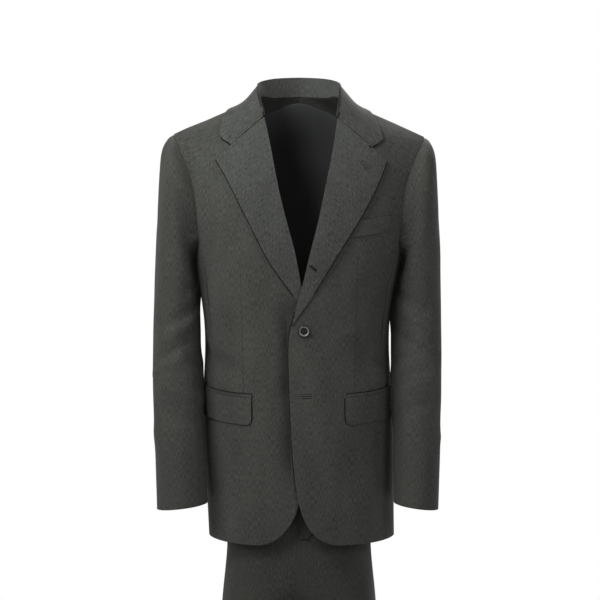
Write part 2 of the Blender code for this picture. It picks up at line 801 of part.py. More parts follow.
def sleeve_surface(hand):
    # A smooth surface through the rings: share of the way round, and distance along.
    count = 96
    rings = sleeve_rings(hand, count)
    knots = np.concatenate([[0.0], SLEEVE["along"]]) / MM
    slopes = np.gradient(rings, knots, axis=0)

    def surface(share, along):
        share = np.asarray(share, float)
        along = np.clip(along, knots[0], knots[-1])
        row = np.clip(np.searchsorted(knots, along, side="right") - 1, 0, len(knots) - 2)
        span = knots[row + 1] - knots[row]
        step = ((along - knots[row]) / span)[..., None]
        span = span[..., None]
        place = (share % 1.0) * count
        low = np.floor(place).astype(int) % count
        after = (low + 1) % count
        mix = (place - np.floor(place))[..., None]

        def ring_value(values, number):
            return values[number, low] * (1 - mix) + values[number, after] * mix

        return (
            (2 * step**3 - 3 * step**2 + 1) * ring_value(rings, row)
            + (step**3 - 2 * step**2 + step) * span * ring_value(slopes, row)
            + (3 * step**2 - 2 * step**3) * ring_value(rings, row + 1)
            + (step**3 - step**2) * span * ring_value(slopes, row + 1)
        )

    return surface


def sleeve_normals(surface, share, along):
    around = surface(share + 0.012, along) - surface(share - 0.012, along)
    down = surface(share, along + 3.0) - surface(share, along - 3.0)
    return unit(np.cross(around, down))


def hind_share(along):
    # The back seam of the sleeve comes forward from the armhole to the cuff.
    return -0.20 + 0.10 * ease(along / 600.0)


def build_sleeve(hand):
    surface = sleeve_surface(hand)
    stations = np.array([0, 6, 13, 22, 36, 58, 85, 115, 150, 190, 230, 265, 290, 312, 334])
    stations = np.concatenate([stations, [356, 378, 400, 425, 455, 490, 530, 570, 605.0]])
    for name, columns_count in (("top", 13), ("under", 9)):
        across = np.linspace(0, 1, columns_count)
        rows = []
        for along in stations:
            first = hind_share(along)
            if name == "top":
                rows.append(first + (FORE_SEAM - first) * across)
            else:
                rows.append(FORE_SEAM + (1 + first - FORE_SEAM) * across)
        share = np.array(rows)
        along = np.repeat(stations[:, None], columns_count, axis=1).astype(float)
        points = surface(share, along)
        facing = sleeve_normals(surface, share, along)
        calm = ease((along - 200) / 60) * ease((600 - along) / 60)
        lift = sleeve_lift(share, along) * calm
        points = points + facing * lift[..., None]
        points = draw_in(points, "alr")
        outer = turn_over(points, hand)
        inner = turn_over(points - facing * SLEEVE_WALL, hand)
        make_solid(f"sleeve_{name}_{hand_name(hand)}", outer, inner, CHARCOAL)
    build_cuff_buttons(hand, surface)


def sleeve_lift(share, along):
    return line_lift(share % 1.0, along, SLEEVE_FOLDS, 350.0)


def disc(name, place, facing, radius, height, segments, colour):
    # A turned button: a shallow dish with a rounded rim.
    profile = (
        (0.0, height * 0.62),
        (0.62, height * 0.62),
        (0.74, height),
        (0.90, height * 0.96),
        (1.0, height * 0.55),
        (0.93, 0.0),
        (0.0, 0.0),
    )
    mesh = bmesh.new()
    line = [mesh.verts.new((share * radius, 0, level)) for share, level in profile]
    edges = [mesh.edges.new(pair) for pair in zip(line, line[1:])]
    bmesh.ops.spin(
        mesh,
        geom=line + edges,
        cent=(0, 0, 0),
        axis=(0, 0, 1),
        angle=math.tau,
        steps=segments,
        use_merge=True,
    )
    bmesh.ops.remove_doubles(mesh, verts=mesh.verts, dist=1e-6)
    up = unit(np.asarray(facing, float))
    aside = unit(np.cross(up, [0, 0, 1.0]))
    third = np.cross(up, aside)
    for vert in mesh.verts:
        spot = np.array(place) + aside * vert.co.x + third * vert.co.y + up * vert.co.z
        vert.co = spot
    finish_mesh(name, mesh, colour, 0.3)


def build_cuff_buttons(hand, surface):
    for number, along in enumerate(CUFF_BUTTONS_AT, start=1):
        share = np.array(CUFF_BUTTON_SHARE)
        spot = surface(share, np.array(float(along)))
        facing = sleeve_normals(surface, share, np.array(float(along)))
        place = turn_over(spot + facing * 0.5 * MM, hand)
        name = f"cuff_button_{hand_name(hand)}_{number}"
        radius = CUFF_BUTTON_RADIUS
        disc(name, place, turn_over(facing, hand), radius, 2.4 * MM, 14, HORN_DARK)


def ring_place(distance, z):
    # A point at a distance round the body from the centre front, at a level below the armhole.
    levels = TORSO["front_z"][:8]
    station = np.interp(z, levels, np.arange(8.0))
    for _ in range(4):
        station += np.interp(z, levels, np.arange(8.0)) - np.interp(
            smooth(TORSO["front_z"], station), levels, np.arange(8.0)
        )
    shares = np.linspace(0, 1, 80)
    level = np.full(80, station)
    line = np.concatenate([front(shares, level), side(shares[1:], level[1:])])
    facing = np.concatenate(
        [normals(front, shares, level), normals(side, shares[1:], level[1:])]
    )
    run = np.concatenate([[0], np.cumsum(np.linalg.norm(np.diff(line, axis=0), axis=1))])
    point = np.array([np.interp(distance, run, line[:, k]) for k in range(3)])
    normal = unit(np.array([np.interp(distance, run, facing[:, k]) for k in range(3)]))
    return point, normal


def build_overlay(name, hand, plan, low, high, colour=CHARCOAL):
    # A flat piece on the body: plan holds distance round the body and level, rows by columns.
    points = np.zeros(plan.shape[:2] + (3,))
    facing = np.zeros_like(points)
    for row in range(plan.shape[0]):
        for column in range(plan.shape[1]):
            points[row, column], facing[row, column] = ring_place(*plan[row, column])
    lift = body_lift(points, hand)[..., None]
    outer = settle(points + facing * (lift + high), hand)
    inner = settle(points + facing * (lift + low), hand)
    make_solid(name, outer, inner, colour)


def build_pocket(hand):
    # The flap hangs from the jet; its front corner is rounded.
    start = 79.5
    length = 148.0
    across = np.array([0, 0.03, 0.08, 0.16, 0.28, 0.4, 0.52, 0.64, 0.76, 0.88, 1.0])
    down = np.array([0, 0.34, 0.67, 1.0])
    plan = np.zeros((len(down), len(across), 2))
    for column, share in enumerate(across):
        distance = start + length * share
        top = -493.5 + 6.0 * share
        depth = 46.0 - 2.0 * share
        round_in = max(0.0, 1 - share / 0.08)
        depth -= 8.0 * (1 - math.sqrt(1 - round_in**2))
        for row, fall in enumerate(down):
            plan[row, column] = (distance, top - depth * fall)
    build_overlay("flap_" + hand_name(hand), hand, plan * MM, 0.7 * MM, 2.2 * MM)
    plan = np.zeros((2, len(across), 2))
    for column, share in enumerate(across):
        distance = start - 1.0 + (length + 1.0) * share
        top = -487.3 + 6.0 * share
        plan[0, column] = (distance, top)
        plan[1, column] = (distance, top - 5.4)
    build_overlay("jet_" + hand_name(hand), hand, plan * MM, 0.8 * MM, 1.9 * MM)


def build_breast_welt():
    corners = np.array([(66.0, -197.5), (154.0, -187.0), (148.5, -214.5), (57.0, -226.0)]) * MM
    across = np.linspace(0, 1, 9)[None, :, None]
    down = np.linspace(0, 1, 3)[:, None, None]
    top = corners[0] + (corners[1] - corners[0]) * across
    bottom = corners[3] + (corners[2] - corners[3]) * across
    plan = top * (1 - down) + bottom * down
    share, station = find_on_front(plan[..., 0], plan[..., 1])
    points = front(share, station)
    facing = normals(front, share, station)
    lift = body_lift(points, 1)[..., None]
    outer = settle(points + facing * (lift + 1.6 * MM), 1)
    inner = settle(points + facing * (lift + 0.4 * MM), 1)
    make_solid("breast_welt", outer, inner, CHARCOAL)


def build_front_button():
    x, z = np.array(BUTTON_PLACE) * MM
    share, station = find_on_front(np.array([x]), np.array([z]))
    point = front(share, station)[0]
    facing = normals(front, share, station)[0]
    place = point + facing * (OVERLAP_LIFT + 0.5 * MM)
    disc("button_middle", place, facing, BUTTON_RADIUS, 3.4 * MM, 28, HORN_DARK)


def trouser_surface(table, facing):
    # One half of the trousers, from the middle seam or inseam round to the side seam.
    def surface(share, level):
        in_x = smooth(table["in_x"], level)
        in_y = smooth(table["in_y"], level)
        in_y = facing * np.maximum(facing * in_y, facing * 4.3 * MM + 0.3 * MM)
        in_z = smooth(table["in_z"], level)
        turn = smooth(table["in_turn"], level)
        in_reach = smooth(table["in_reach"], level)
        out_x = smooth(table["out_x"], level)
        out_y = smooth(table["out_y"], level)
        out_z = smooth(table["out_z"], level)
        out_reach = smooth(table["out_reach"], level)
        near_x = in_x + in_reach * np.cos(turn)
        near_y = in_y - facing * in_reach * np.sin(turn)
        x = bezier(share, in_x, near_x, out_x, out_x)
        y = bezier(share, in_y, near_y, out_y + facing * out_reach, out_y)
        z = in_z + (out_z - in_z) * ease(share)
        return np.stack([x, y, z], axis=-1)

    return surface


def build_trouser_half(hand, table, facing, name):
    surface = trouser_surface(table, facing)
    count = 9
    level = np.repeat(np.array(TROUSER_LEVELS, float)[:, None], count, axis=1)
    share = np.repeat(np.linspace(0, 1, count)[None], len(TROUSER_LEVELS), axis=0)
    points = surface(share, level)
    out = normals(surface, np.clip(share, 0.002, 0.998), level, facing)
    crease = ease((level - 7.0) / 1.5) * np.exp(-(((share - 0.5) / 0.09) ** 2)) * 3.2 * MM
    points = points + out * crease[..., None]
    points = draw_in(points)
    outer = turn_over(points, hand)
    inner = turn_over(points - out * TROUSER_WALL, hand)
    make_solid(f"trouser_{name}_{hand_name(hand)}", outer, inner, CHARCOAL)


def waist_ring(count):
    fore = trouser_surface(TROUSER_FRONT, -1)
    hind = trouser_surface(TROUSER_BACK, 1)
    shares = np.linspace(0, 1, count)
    quarter = fore(shares, np.zeros(count))
    rear = hind(shares[::-1], np.zeros(count))
    half = np.concatenate([quarter, rear[1:]])
    other = turn_over(half[::-1], -1)
    return np.concatenate([half, other[1:]])


def build_waistband():
    ring = waist_ring(11)
    out = unit(ring * [1, 1, 0])
    ring[0, 0] = 0.25 * MM
    ring[-1, 0] = -0.25 * MM
    rows_out = []
    rows_in = []
    for rise, grow in ((0.6, 0.0), (18.0, -1.2), (36.0, -3.0)):
        base = ring + [0, 0, rise * MM] + out * grow * MM
        rows_out.append(base)
        rows_in.append(base - out * 2.2 * MM)
    make_solid("waistband", np.array(rows_out), np.array(rows_in), CHARCOAL)


def build_fly():
    surface = trouser_surface(TROUSER_FRONT, -1)
    level = np.repeat(np.linspace(0.08, 2.6, 8)[:, None], 4, axis=1)
    width = np.array([0.01, 0.1, 0.19, 0.28])[None, :]
    taper = 1 - 0.75 * ease((level - 1.7) / 0.9)
    share = np.clip(width * taper, 0.008, 1)
    points = surface(share, level)
    out = normals(surface, share, level, -1)
    outer = points + out * 1.6 * MM
    inner = points + out * 0.4 * MM
    make_solid("fly", outer, inner, CHARCOAL)


def main():
    for found in list(bpy.data.objects):
        bpy.data.objects.remove(found)
    for hand in (-1, 1):
        build_front(hand)
        build_side(hand)
        build_back(hand)
        build_lapel(hand)
        build_sleeve(hand)
        build_pocket(hand)
        build_trouser_half(hand, TROUSER_FRONT, -1, "front")
        build_trouser_half(hand, TROUSER_BACK, 1, "back")
    build_collar()
    build_back_lining()
    build_breast_welt()
    build_front_button()
    build_waistband()
    build_fly()


main()
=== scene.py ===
import math

import bmesh
import bpy
import numpy as np
from mathutils import Matrix, Vector
from mathutils.bvhtree import BVHTree


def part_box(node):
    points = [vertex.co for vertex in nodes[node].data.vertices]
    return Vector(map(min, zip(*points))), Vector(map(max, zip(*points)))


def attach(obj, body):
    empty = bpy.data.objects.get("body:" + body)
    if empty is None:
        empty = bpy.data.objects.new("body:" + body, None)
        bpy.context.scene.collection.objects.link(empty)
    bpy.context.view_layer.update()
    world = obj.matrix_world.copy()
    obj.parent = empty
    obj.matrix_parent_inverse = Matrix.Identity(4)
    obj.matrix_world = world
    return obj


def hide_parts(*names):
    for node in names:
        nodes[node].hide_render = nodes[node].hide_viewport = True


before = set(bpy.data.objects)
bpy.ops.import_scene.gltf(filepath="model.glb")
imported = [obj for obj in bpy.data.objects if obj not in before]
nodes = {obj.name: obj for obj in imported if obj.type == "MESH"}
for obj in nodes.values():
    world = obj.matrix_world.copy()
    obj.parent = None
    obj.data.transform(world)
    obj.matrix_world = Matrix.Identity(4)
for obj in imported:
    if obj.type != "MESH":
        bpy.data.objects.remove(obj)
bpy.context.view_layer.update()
print("solids loaded:", len(nodes))


# Camera: far away with a long lens, a little above the middle button.
cameraSetup = {
    "distance": 6.0,
    "height": 5.5,      # degrees above level
    "aim": (0.0017, 0.0, -0.34),
    "lens": 211.8,
}


def placeCamera(setup):
    data = bpy.data.cameras.new("camera")
    data.lens = setup["lens"]
    data.clip_end = 60
    camera = bpy.data.objects.new("camera", data)
    bpy.context.scene.collection.objects.link(camera)
    aim = Vector(setup["aim"])
    rise = math.radians(setup["height"])
    camera.location = aim + setup["distance"] * Vector((0, -math.cos(rise), math.sin(rise)))
    camera.rotation_euler = (aim - camera.location).to_track_quat("-Z", "Y").to_euler()
    bpy.context.scene.camera = camera


placeCamera(cameraSetup)
bpy.context.scene.view_settings.view_transform = "Standard"
print("camera placed")


# Shader maths: a wire wraps a socket, so sums are written as plain expressions.
class Wire:
    def __init__(self, tree, socket=None):
        self.tree = tree
        self.socket = socket

    def add(self, kind, settings=None, values=None, output=0):
        node = self.tree.nodes.new(kind)
        for name, setting in (settings or {}).items():
            setattr(node, name, setting)
        for name, value in (values or {}).items():
            if isinstance(value, Wire):
                self.tree.links.new(value.socket, node.inputs[name])
            else:
                node.inputs[name].default_value = value
        return Wire(self.tree, node.outputs[output])

    def calc(self, operation, first, second=0.0, clamp=False):
        settings = {"operation": operation, "use_clamp": clamp}
        return self.add("ShaderNodeMath", settings, {0: first, 1: second})

    def __add__(self, other):
        return self.calc("ADD", self, other)

    __radd__ = __add__

    def __sub__(self, other):
        return self.calc("SUBTRACT", self, other)

    def __rsub__(self, other):
        return self.calc("SUBTRACT", other, self)

    def __mul__(self, other):
        return self.calc("MULTIPLY", self, other)

    __rmul__ = __mul__

    def __truediv__(self, other):
        return self.calc("DIVIDE", self, other)

    def within(self):
        return self.calc("ADD", self, 0.0, clamp=True)

    def sine(self):
        return self.calc("SINE", self)

    def size(self):
        return self.calc("ABSOLUTE", self)

    def stepped(self, low, high):
        # 0 below low, 1 above high, smooth between
        values = {0: self, 1: low, 2: high, 3: 0.0, 4: 1.0}
        return self.add("ShaderNodeMapRange", {"interpolation_type": "SMOOTHSTEP"}, values)

    def blend(self, first, second):
        settings = {"data_type": "RGBA", "blend_type": "MIX"}
        return self.add("ShaderNodeMix", settings, {0: self, 6: first, 7: second}, 2)


# Studio: a white room, dimmer as a light than the camera sees it, with a soft key close by at the
# upper left, broad lights from the left and the right, and a strong one from behind.
studio = {
    "seen": 1.0,      # how bright the camera sees the room, and how much light it sheds
    "shed": 0.34,
    "floorHeight": -1.66,
    "floorSize": 2.4,
    "floorSides": 96,
    "floorColours": ((0.80, 0.80, 0.79, 1), (0.82, 0.82, 0.81, 1)),
    "floorClouds": 1.5,      # per metre
    "floorRoughness": 0.9,
    "lights": (
        # name, place, aim, size, watts
        ("keyLight", (-0.85, -1.0, 1.0), (0, 0, 0.95), 0.8, 41),
        ("leftLight", (-2.4, -1.2, 0.9), (0, 0, 0.5), 1.6, 44),
        ("fillLight", (2.0, -2.1, 1.1), (0, 0, 0.5), 1.6, 38),
        ("backLight", (0.7, 2.4, 1.7), (0, 0, -0.4), 1.8, 105),
    ),
}


def lightStudio(setup):
    world = bpy.data.worlds.new("room")
    bpy.context.scene.world = world
    world.use_nodes = True
    room = world.node_tree.nodes["Background"]
    start = Wire(world.node_tree)
    seen = start.add("ShaderNodeLightPath")     # its first output tells what the camera sees itself
    room.inputs["Color"].default_value = (1, 1, 1, 1)
    feed(room, "Strength", setup["shed"] + seen * (setup["seen"] - setup["shed"]))
    for name, place, aim, size, watts in setup["lights"]:
        data = bpy.data.lights.new(name, "AREA")
        data.shape = "DISK"
        data.size = size
        data.energy = watts
        light = bpy.data.objects.new(name, data)
        bpy.context.scene.collection.objects.link(light)
        light.location = place
        turn = (Vector(aim) - Vector(place)).to_track_quat("-Z", "Y")
        light.rotation_euler = turn.to_euler()


def newMaterial(name, **fixed):
    material = bpy.data.materials.new(name)
    material.use_nodes = True
    shader = material.node_tree.nodes["Principled BSDF"]
    for socket, value in fixed.items():
        shader.inputs[socket.replace("_", " ")].default_value = value
    return material, shader, Wire(material.node_tree)


def feed(shader, name, wire):
    wire.tree.links.new(wire.socket, shader.inputs[name])


def stretched(start, place, across, along, detail=2.0):
    # noise in the cloth's own directions, so many per metre across and along
    scaled = start.add("ShaderNodeVectorMath", {"operation": "MULTIPLY"},
                       {0: place, 1: (across, along, 1)})
    return start.add("ShaderNodeTexNoise", {"noise_dimensions": "3D"},
                     {"Vector": scaled, "Scale": 1.0, "Detail": detail, "Roughness": 0.55})


def splitUp(start, place):
    return [start.add("ShaderNodeSeparateXYZ", values={0: place}, output=axis) for axis in range(3)]


lightStudio(studio)
print("studio lit")


# Suit cloth: worsted with light and dark yarns, so it shows fine uneven streaks along the grain.
suitCloth = {
    "dark": (0.0060, 0.0066, 0.0050, 1),
    "light": (0.0700, 0.0725, 0.0650, 1),
    "lapelDark": (0.0060, 0.0066, 0.0055, 1),
    "lapelLight": (0.0740, 0.0770, 0.0710, 1),
    # the trousers: the same cloth made darker, as painted shade for the less light that reaches them
    "trousersShadedDark": (0.0050, 0.0055, 0.0041, 1),      # the trousers
    "trousersShadedLight": (0.0500, 0.0515, 0.0455, 1),
    "edgeDark": (0.0030, 0.0033, 0.0026, 1),     # the turned edge lies in its own shade
    "edgeLight": (0.0140, 0.0145, 0.0130, 1),
    "contrast": {"cloth": 1.25, "fronts": 1.4, "trousers": 1.0, "lapels": 1.45, "edge": 0.8},
    "streaks": (1000, 130),      # per metre across and along the grain
    "specks": (1900, 800),
    "clouds": (24, 8),
    "middle": 0.45,              # share of the light yarn, and what the others add to it
    "speckShare": 0.5,
    "cloudShare": 0.35,
    "twillShare": 0.02,
    "twillStep": 0.0012,
    "twillSlope": 0.8,
    "heights": (0.6, 0.45, 0.05),      # of streaks, specks and twill
    "roughness": 0.74,
    "roughnessSpread": 0.16,
    "bump": 0.25,
    "bumpDepth": 0.0005,
}


def makeSuitCloth(name, dark, light, depth, fronts=False):
    material, shader, start = newMaterial(
        name, Sheen_Weight=0.05, Sheen_Roughness=0.5, Specular_IOR_Level=0.12)
    cut = suitCloth
    grain = start.add("ShaderNodeUVMap", {"uv_map": "grain"})
    streak = stretched(start, grain, *cut["streaks"])
    speck = stretched(start, grain, *cut["specks"], detail=1.0)
    cloud = stretched(start, grain, *cut["clouds"], detail=3.0)
    across, along, _ = splitUp(start, grain)
    twill = ((across * cut["twillSlope"] + along) * (math.tau / cut["twillStep"])).sine()
    shade = cut["middle"] + (streak - 0.5) * depth + (speck - 0.5) * depth * cut["speckShare"]
    shade = shade + (cloud - 0.5) * cut["cloudShare"]
    shade = (shade + twill * cut["twillShare"]).within()
    colour = shade.blend(dark, light)
    streakHigh, speckHigh, twillHigh = cut["heights"]
    height = streak * streakHigh + speck * speckHigh + twill * twillHigh
    if fronts:
        mark = dartMark(start)
        seam = tuple(dart["darker"] * value for value in dark[:3]) + (1,)
        colour = (mark * dart["dark"]).blend(colour, seam)
        height = height - mark * dart["deep"]
        colour = (edgeFade(start) * frontFade["dark"]).blend(colour, dark)
    feed(shader, "Base Color", colour)
    feed(shader, "Roughness", cut["roughness"] + streak * cut["roughnessSpread"])
    bump = start.add("ShaderNodeBump", values={
        "Strength": cut["bump"], "Distance": cut["bumpDepth"], "Height": height})
    feed(shader, "Normal", bump)
    return material


# Front darts, in metres: one below each chest, down to the pocket.
dart = {
    "top": -0.245, "foot": -0.492, "topOut": 0.0985, "footOut": 0.0925,
    "thin": 0.00044, "wide": 0.00176,      # half widths where the line is full and where it ends
    "topFade": 0.03, "footFade": 0.004,
    "dark": 0.22, "darker": 0.55, "deep": 0.9,
}


def dartMark(start):
    x, _, z = splitUp(start, start.add("ShaderNodeTexCoord", output=3))
    run = (z - dart["top"]) / (dart["foot"] - dart["top"])
    middle = dart["topOut"] + run * (dart["footOut"] - dart["topOut"])
    line = 1 - (x.size() - middle).size().stepped(dart["thin"], dart["wide"])
    foot = z.stepped(dart["foot"] - dart["footFade"], dart["foot"])
    top = 1 - z.stepped(dart["top"] - dart["topFade"], dart["top"])
    return line * foot * top


# The right front lies in the soft shade of the left one, along its edge. In metres.
frontFade = {
    "top": -0.345, "foot": -0.60, "topX": -0.0215, "footX": -0.0135,
    "wide": 0.026, "full": 0.004, "edge": (-0.0006, 0.0002),
    "topFade": (-0.03, 0.01), "footFade": 0.05,
    "dark": 0.42,
}


def edgeFade(start):
    fade = frontFade
    x, _, z = splitUp(start, start.add("ShaderNodeTexCoord", output=3))
    run = (z - fade["top"]) / (fade["foot"] - fade["top"])
    past = x - (fade["topX"] + run * (fade["footX"] - fade["topX"]))
    near = past.stepped(-fade["wide"], -fade["full"]) * (1 - past.stepped(*fade["edge"]))
    foot = z.stepped(fade["foot"] - fade["footFade"], fade["foot"])
    low, high = fade["topFade"]
    top = 1 - z.stepped(fade["top"] + low, fade["top"] + high)
    return near * foot * top


# Lining: smooth, faintly shiny, with a fine twill.
liningCloth = {
    "dark": (0.026, 0.027, 0.028, 1),
    "light": (0.046, 0.047, 0.050, 1),
    "twillStep": 0.0008,
    "clouds": (30, 12),
    "twillShare": 0.25,
    "cloudShare": 0.7,
    "roughness": 0.38,
    "roughnessSpread": 0.16,
    "bump": 0.15,
    "bumpDepth": 0.0003,
}


def makeLining():
    material, shader, start = newMaterial("liningTwill", Sheen_Weight=0.2, Specular_IOR_Level=0.4)
    cut = liningCloth
    grain = start.add("ShaderNodeUVMap", {"uv_map": "grain"})
    across, along, _ = splitUp(start, grain)
    twill = ((across + along) * (math.tau / cut["twillStep"])).sine()
    cloud = stretched(start, grain, *cut["clouds"], detail=3.0)
    shade = (0.5 + twill * cut["twillShare"] + (cloud - 0.5) * cut["cloudShare"]).within()
    feed(shader, "Base Color", shade.blend(cut["dark"], cut["light"]))
    feed(shader, "Roughness", cut["roughness"] + cloud * cut["roughnessSpread"])
    bump = start.add("ShaderNodeBump", values={
        "Strength": cut["bump"], "Distance": cut["bumpDepth"], "Height": twill})
    feed(shader, "Normal", bump)
    return material


# Buttons: dark horn, clouded and flecked; a paler ring on the rim is a painted highlight of its raised
# edge.
horn = {
    "dark": (0.003, 0.003, 0.003, 1),
    "cloud": (0.016, 0.015, 0.014, 1),
    "ringDark": (0.090, 0.090, 0.084, 1),
    "ring": (0.200, 0.200, 0.186, 1),
    "clouds": 240.0,      # per metre
    "flecks": 1400.0,
    "cloudMiddle": 0.42,
    "cloudShare": 3.0,
    "fleckShare": 0.5,
    "roughness": 0.26,
    "roughnessSpread": 0.14,
}


def makeHorn(name, dark, pale):
    material, shader, start = newMaterial(name, Specular_IOR_Level=0.3)
    spot = start.add("ShaderNodeTexCoord", output=3)
    cloud = start.add("ShaderNodeTexNoise", values={
        "Vector": spot, "Scale": horn["clouds"], "Detail": 3.0, "Roughness": 0.6, "Distortion": 0.8})
    fleck = start.add("ShaderNodeTexNoise", values={
        "Vector": spot, "Scale": horn["flecks"], "Detail": 1.0})
    clouded = (cloud - horn["cloudMiddle"]) * horn["cloudShare"]
    shade = (clouded + (fleck - 0.5) * horn["fleckShare"]).within()
    feed(shader, "Base Color", shade.blend(dark, pale))
    feed(shader, "Roughness", horn["roughness"] + fleck * horn["roughnessSpread"])
    return material


# Thread: silk twist, flecked by its fibres. The painted shadows, dark strips at edges and slits, are the
# same, but dull.
twist = {
    # dark and light colour, and the sheen
    "dark": ((0.010, 0.010, 0.009, 1), (0.034, 0.034, 0.030, 1), 0.2),
    "grey": ((0.040, 0.042, 0.038, 1), (0.085, 0.088, 0.080, 1), 0.2),
    "edge": ((0.007, 0.0072, 0.006, 1), (0.015, 0.0155, 0.013, 1), 0.0),
    "slit": ((0.002, 0.002, 0.002, 1), (0.006, 0.006, 0.005, 1), 0.0),
    "fibres": 2600.0,      # per metre
    "contrast": 2.2,
    "roughness": 0.5,
    "roughnessSpread": 0.2,
}


def makeThread(name, dark, light, sheen):
    material, shader, start = newMaterial(name, Sheen_Weight=sheen, Specular_IOR_Level=sheen)
    spot = start.add("ShaderNodeTexCoord", output=3)
    fibre = start.add("ShaderNodeTexNoise", values={
        "Vector": spot, "Scale": twist["fibres"], "Detail": 2.0})
    shade = ((fibre - 0.5) * twist["contrast"] + 0.5).within()
    feed(shader, "Base Color", shade.blend(dark, light))
    feed(shader, "Roughness", twist["roughness"] + fibre * twist["roughnessSpread"])
    return material


contrast = suitCloth["contrast"]
finishes = {
    "cloth": makeSuitCloth(
        "charcoalWorsted", suitCloth["dark"], suitCloth["light"], contrast["cloth"]),
    "fronts": makeSuitCloth(
        "charcoalWorstedFronts", suitCloth["dark"], suitCloth["light"], contrast["fronts"], fronts=True),
    # the trousers' finish is the suit cloth darkened: painted shade
    "trousers": makeSuitCloth(
        "charcoalWorstedTrousersShaded", suitCloth["trousersShadedDark"], suitCloth["trousersShadedLight"], contrast["trousers"]),
    "lapels": makeSuitCloth(
        "charcoalWorstedLapels", suitCloth["lapelDark"], suitCloth["lapelLight"], contrast["lapels"]),
    "edge": makeSuitCloth(
        "charcoalEdge", suitCloth["edgeDark"], suitCloth["edgeLight"], contrast["edge"]),
    "lining": makeLining(),
    "horn": makeHorn("darkHorn", horn["dark"], horn["cloud"]),
    "hornHighlight": makeHorn("hornHighlightRing", horn["ringDark"], horn["ring"]),
    "thread": makeThread("darkTwist", *twist["dark"]),
    "paleThread": makeThread("greyTwist", *twist["grey"]),
    "shade": makeThread("edgeShade", *twist["edge"]),
    "shadow": makeThread("slitShade", *twist["slit"]),
}
print("finishes made:", len(finishes))


# Folds: a line on the unrolled cloth, from place to place, then the fold's half width and how far it
# lifts the cloth, all in millimetres. A negative lift is a trough. Their sides fade away softly.
foldShape = {"uneven": 0.25, "unevenStep": 17, "endShare": 0.9}
# On the body a place is the way round from the centre front (wearer's left positive) and the height.
bodyFolds = {
    "radius": 160.0,
    "depth": 1.25,
    "waves": 1.1,
    # the folds fade out towards the neck, and beside the armholes: height, places and share
    "neck": {"up": (-120, -40), "share": 0.9},
    "armhole": {"across": (150, 172), "up": (-250, -215), "share": 0.85},
    # the right front dips under the edge of the left one; straight across, not round the body
    "under": ((-17, -352, -19, -480, 19, -5.6), (-18, -480, -12, -596, 19, -4.6)),
    "lines": (
        (-226, -420, -168, -440, 12, -3.8),
        (-168, -440, -128, -446, 12, -3.4),
        (-196, -472, -120, -478, 12, 2.9),
        (-206, -392, -140, -424, 13, 1.2),
        (-230, -478, -150, -492, 8, -1.1),
        (-120, -540, -96, -640, 26, -1.6),
        (-60, -560, -44, -690, 30, 1.4),
        (-188, -300, -164, -226, 18, -1.9),
        (-150, -340, -120, -262, 24, 1.3),
        (140, -424, 190, -446, 15, -6.0),
        (136, -478, 186, -468, 12, 3.2),
        (158, -424, 196, -458, 10, 2.2),
        (164, -392, 214, -426, 11, -1.6),
        (84, -392, 112, -384, 16, 1.6),
        (110, -350, 140, -300, 22, -1.2),
        (70, -560, 60, -690, 28, 1.4),
        (124, -545, 110, -650, 26, -1.5),
        (186, -308, 160, -232, 18, -1.9),
        (-420, -330, -470, -372, 22, -3.2),
        (-400, -372, -455, -420, 20, 2.6),
        (430, -322, 474, -366, 22, -3.3),
        (404, -378, 452, -416, 20, 2.5),
        (-360, -180, -392, -96, 24, -2.8),
        (352, -176, 388, -100, 24, -2.6),
        (-340, -420, -372, -470, 18, -1.5),
        (336, -428, 366, -474, 18, -1.6),
        (-440, -560, -430, -700, 34, 1.8),
        (452, -560, 440, -700, 34, 1.7),
    ),
}
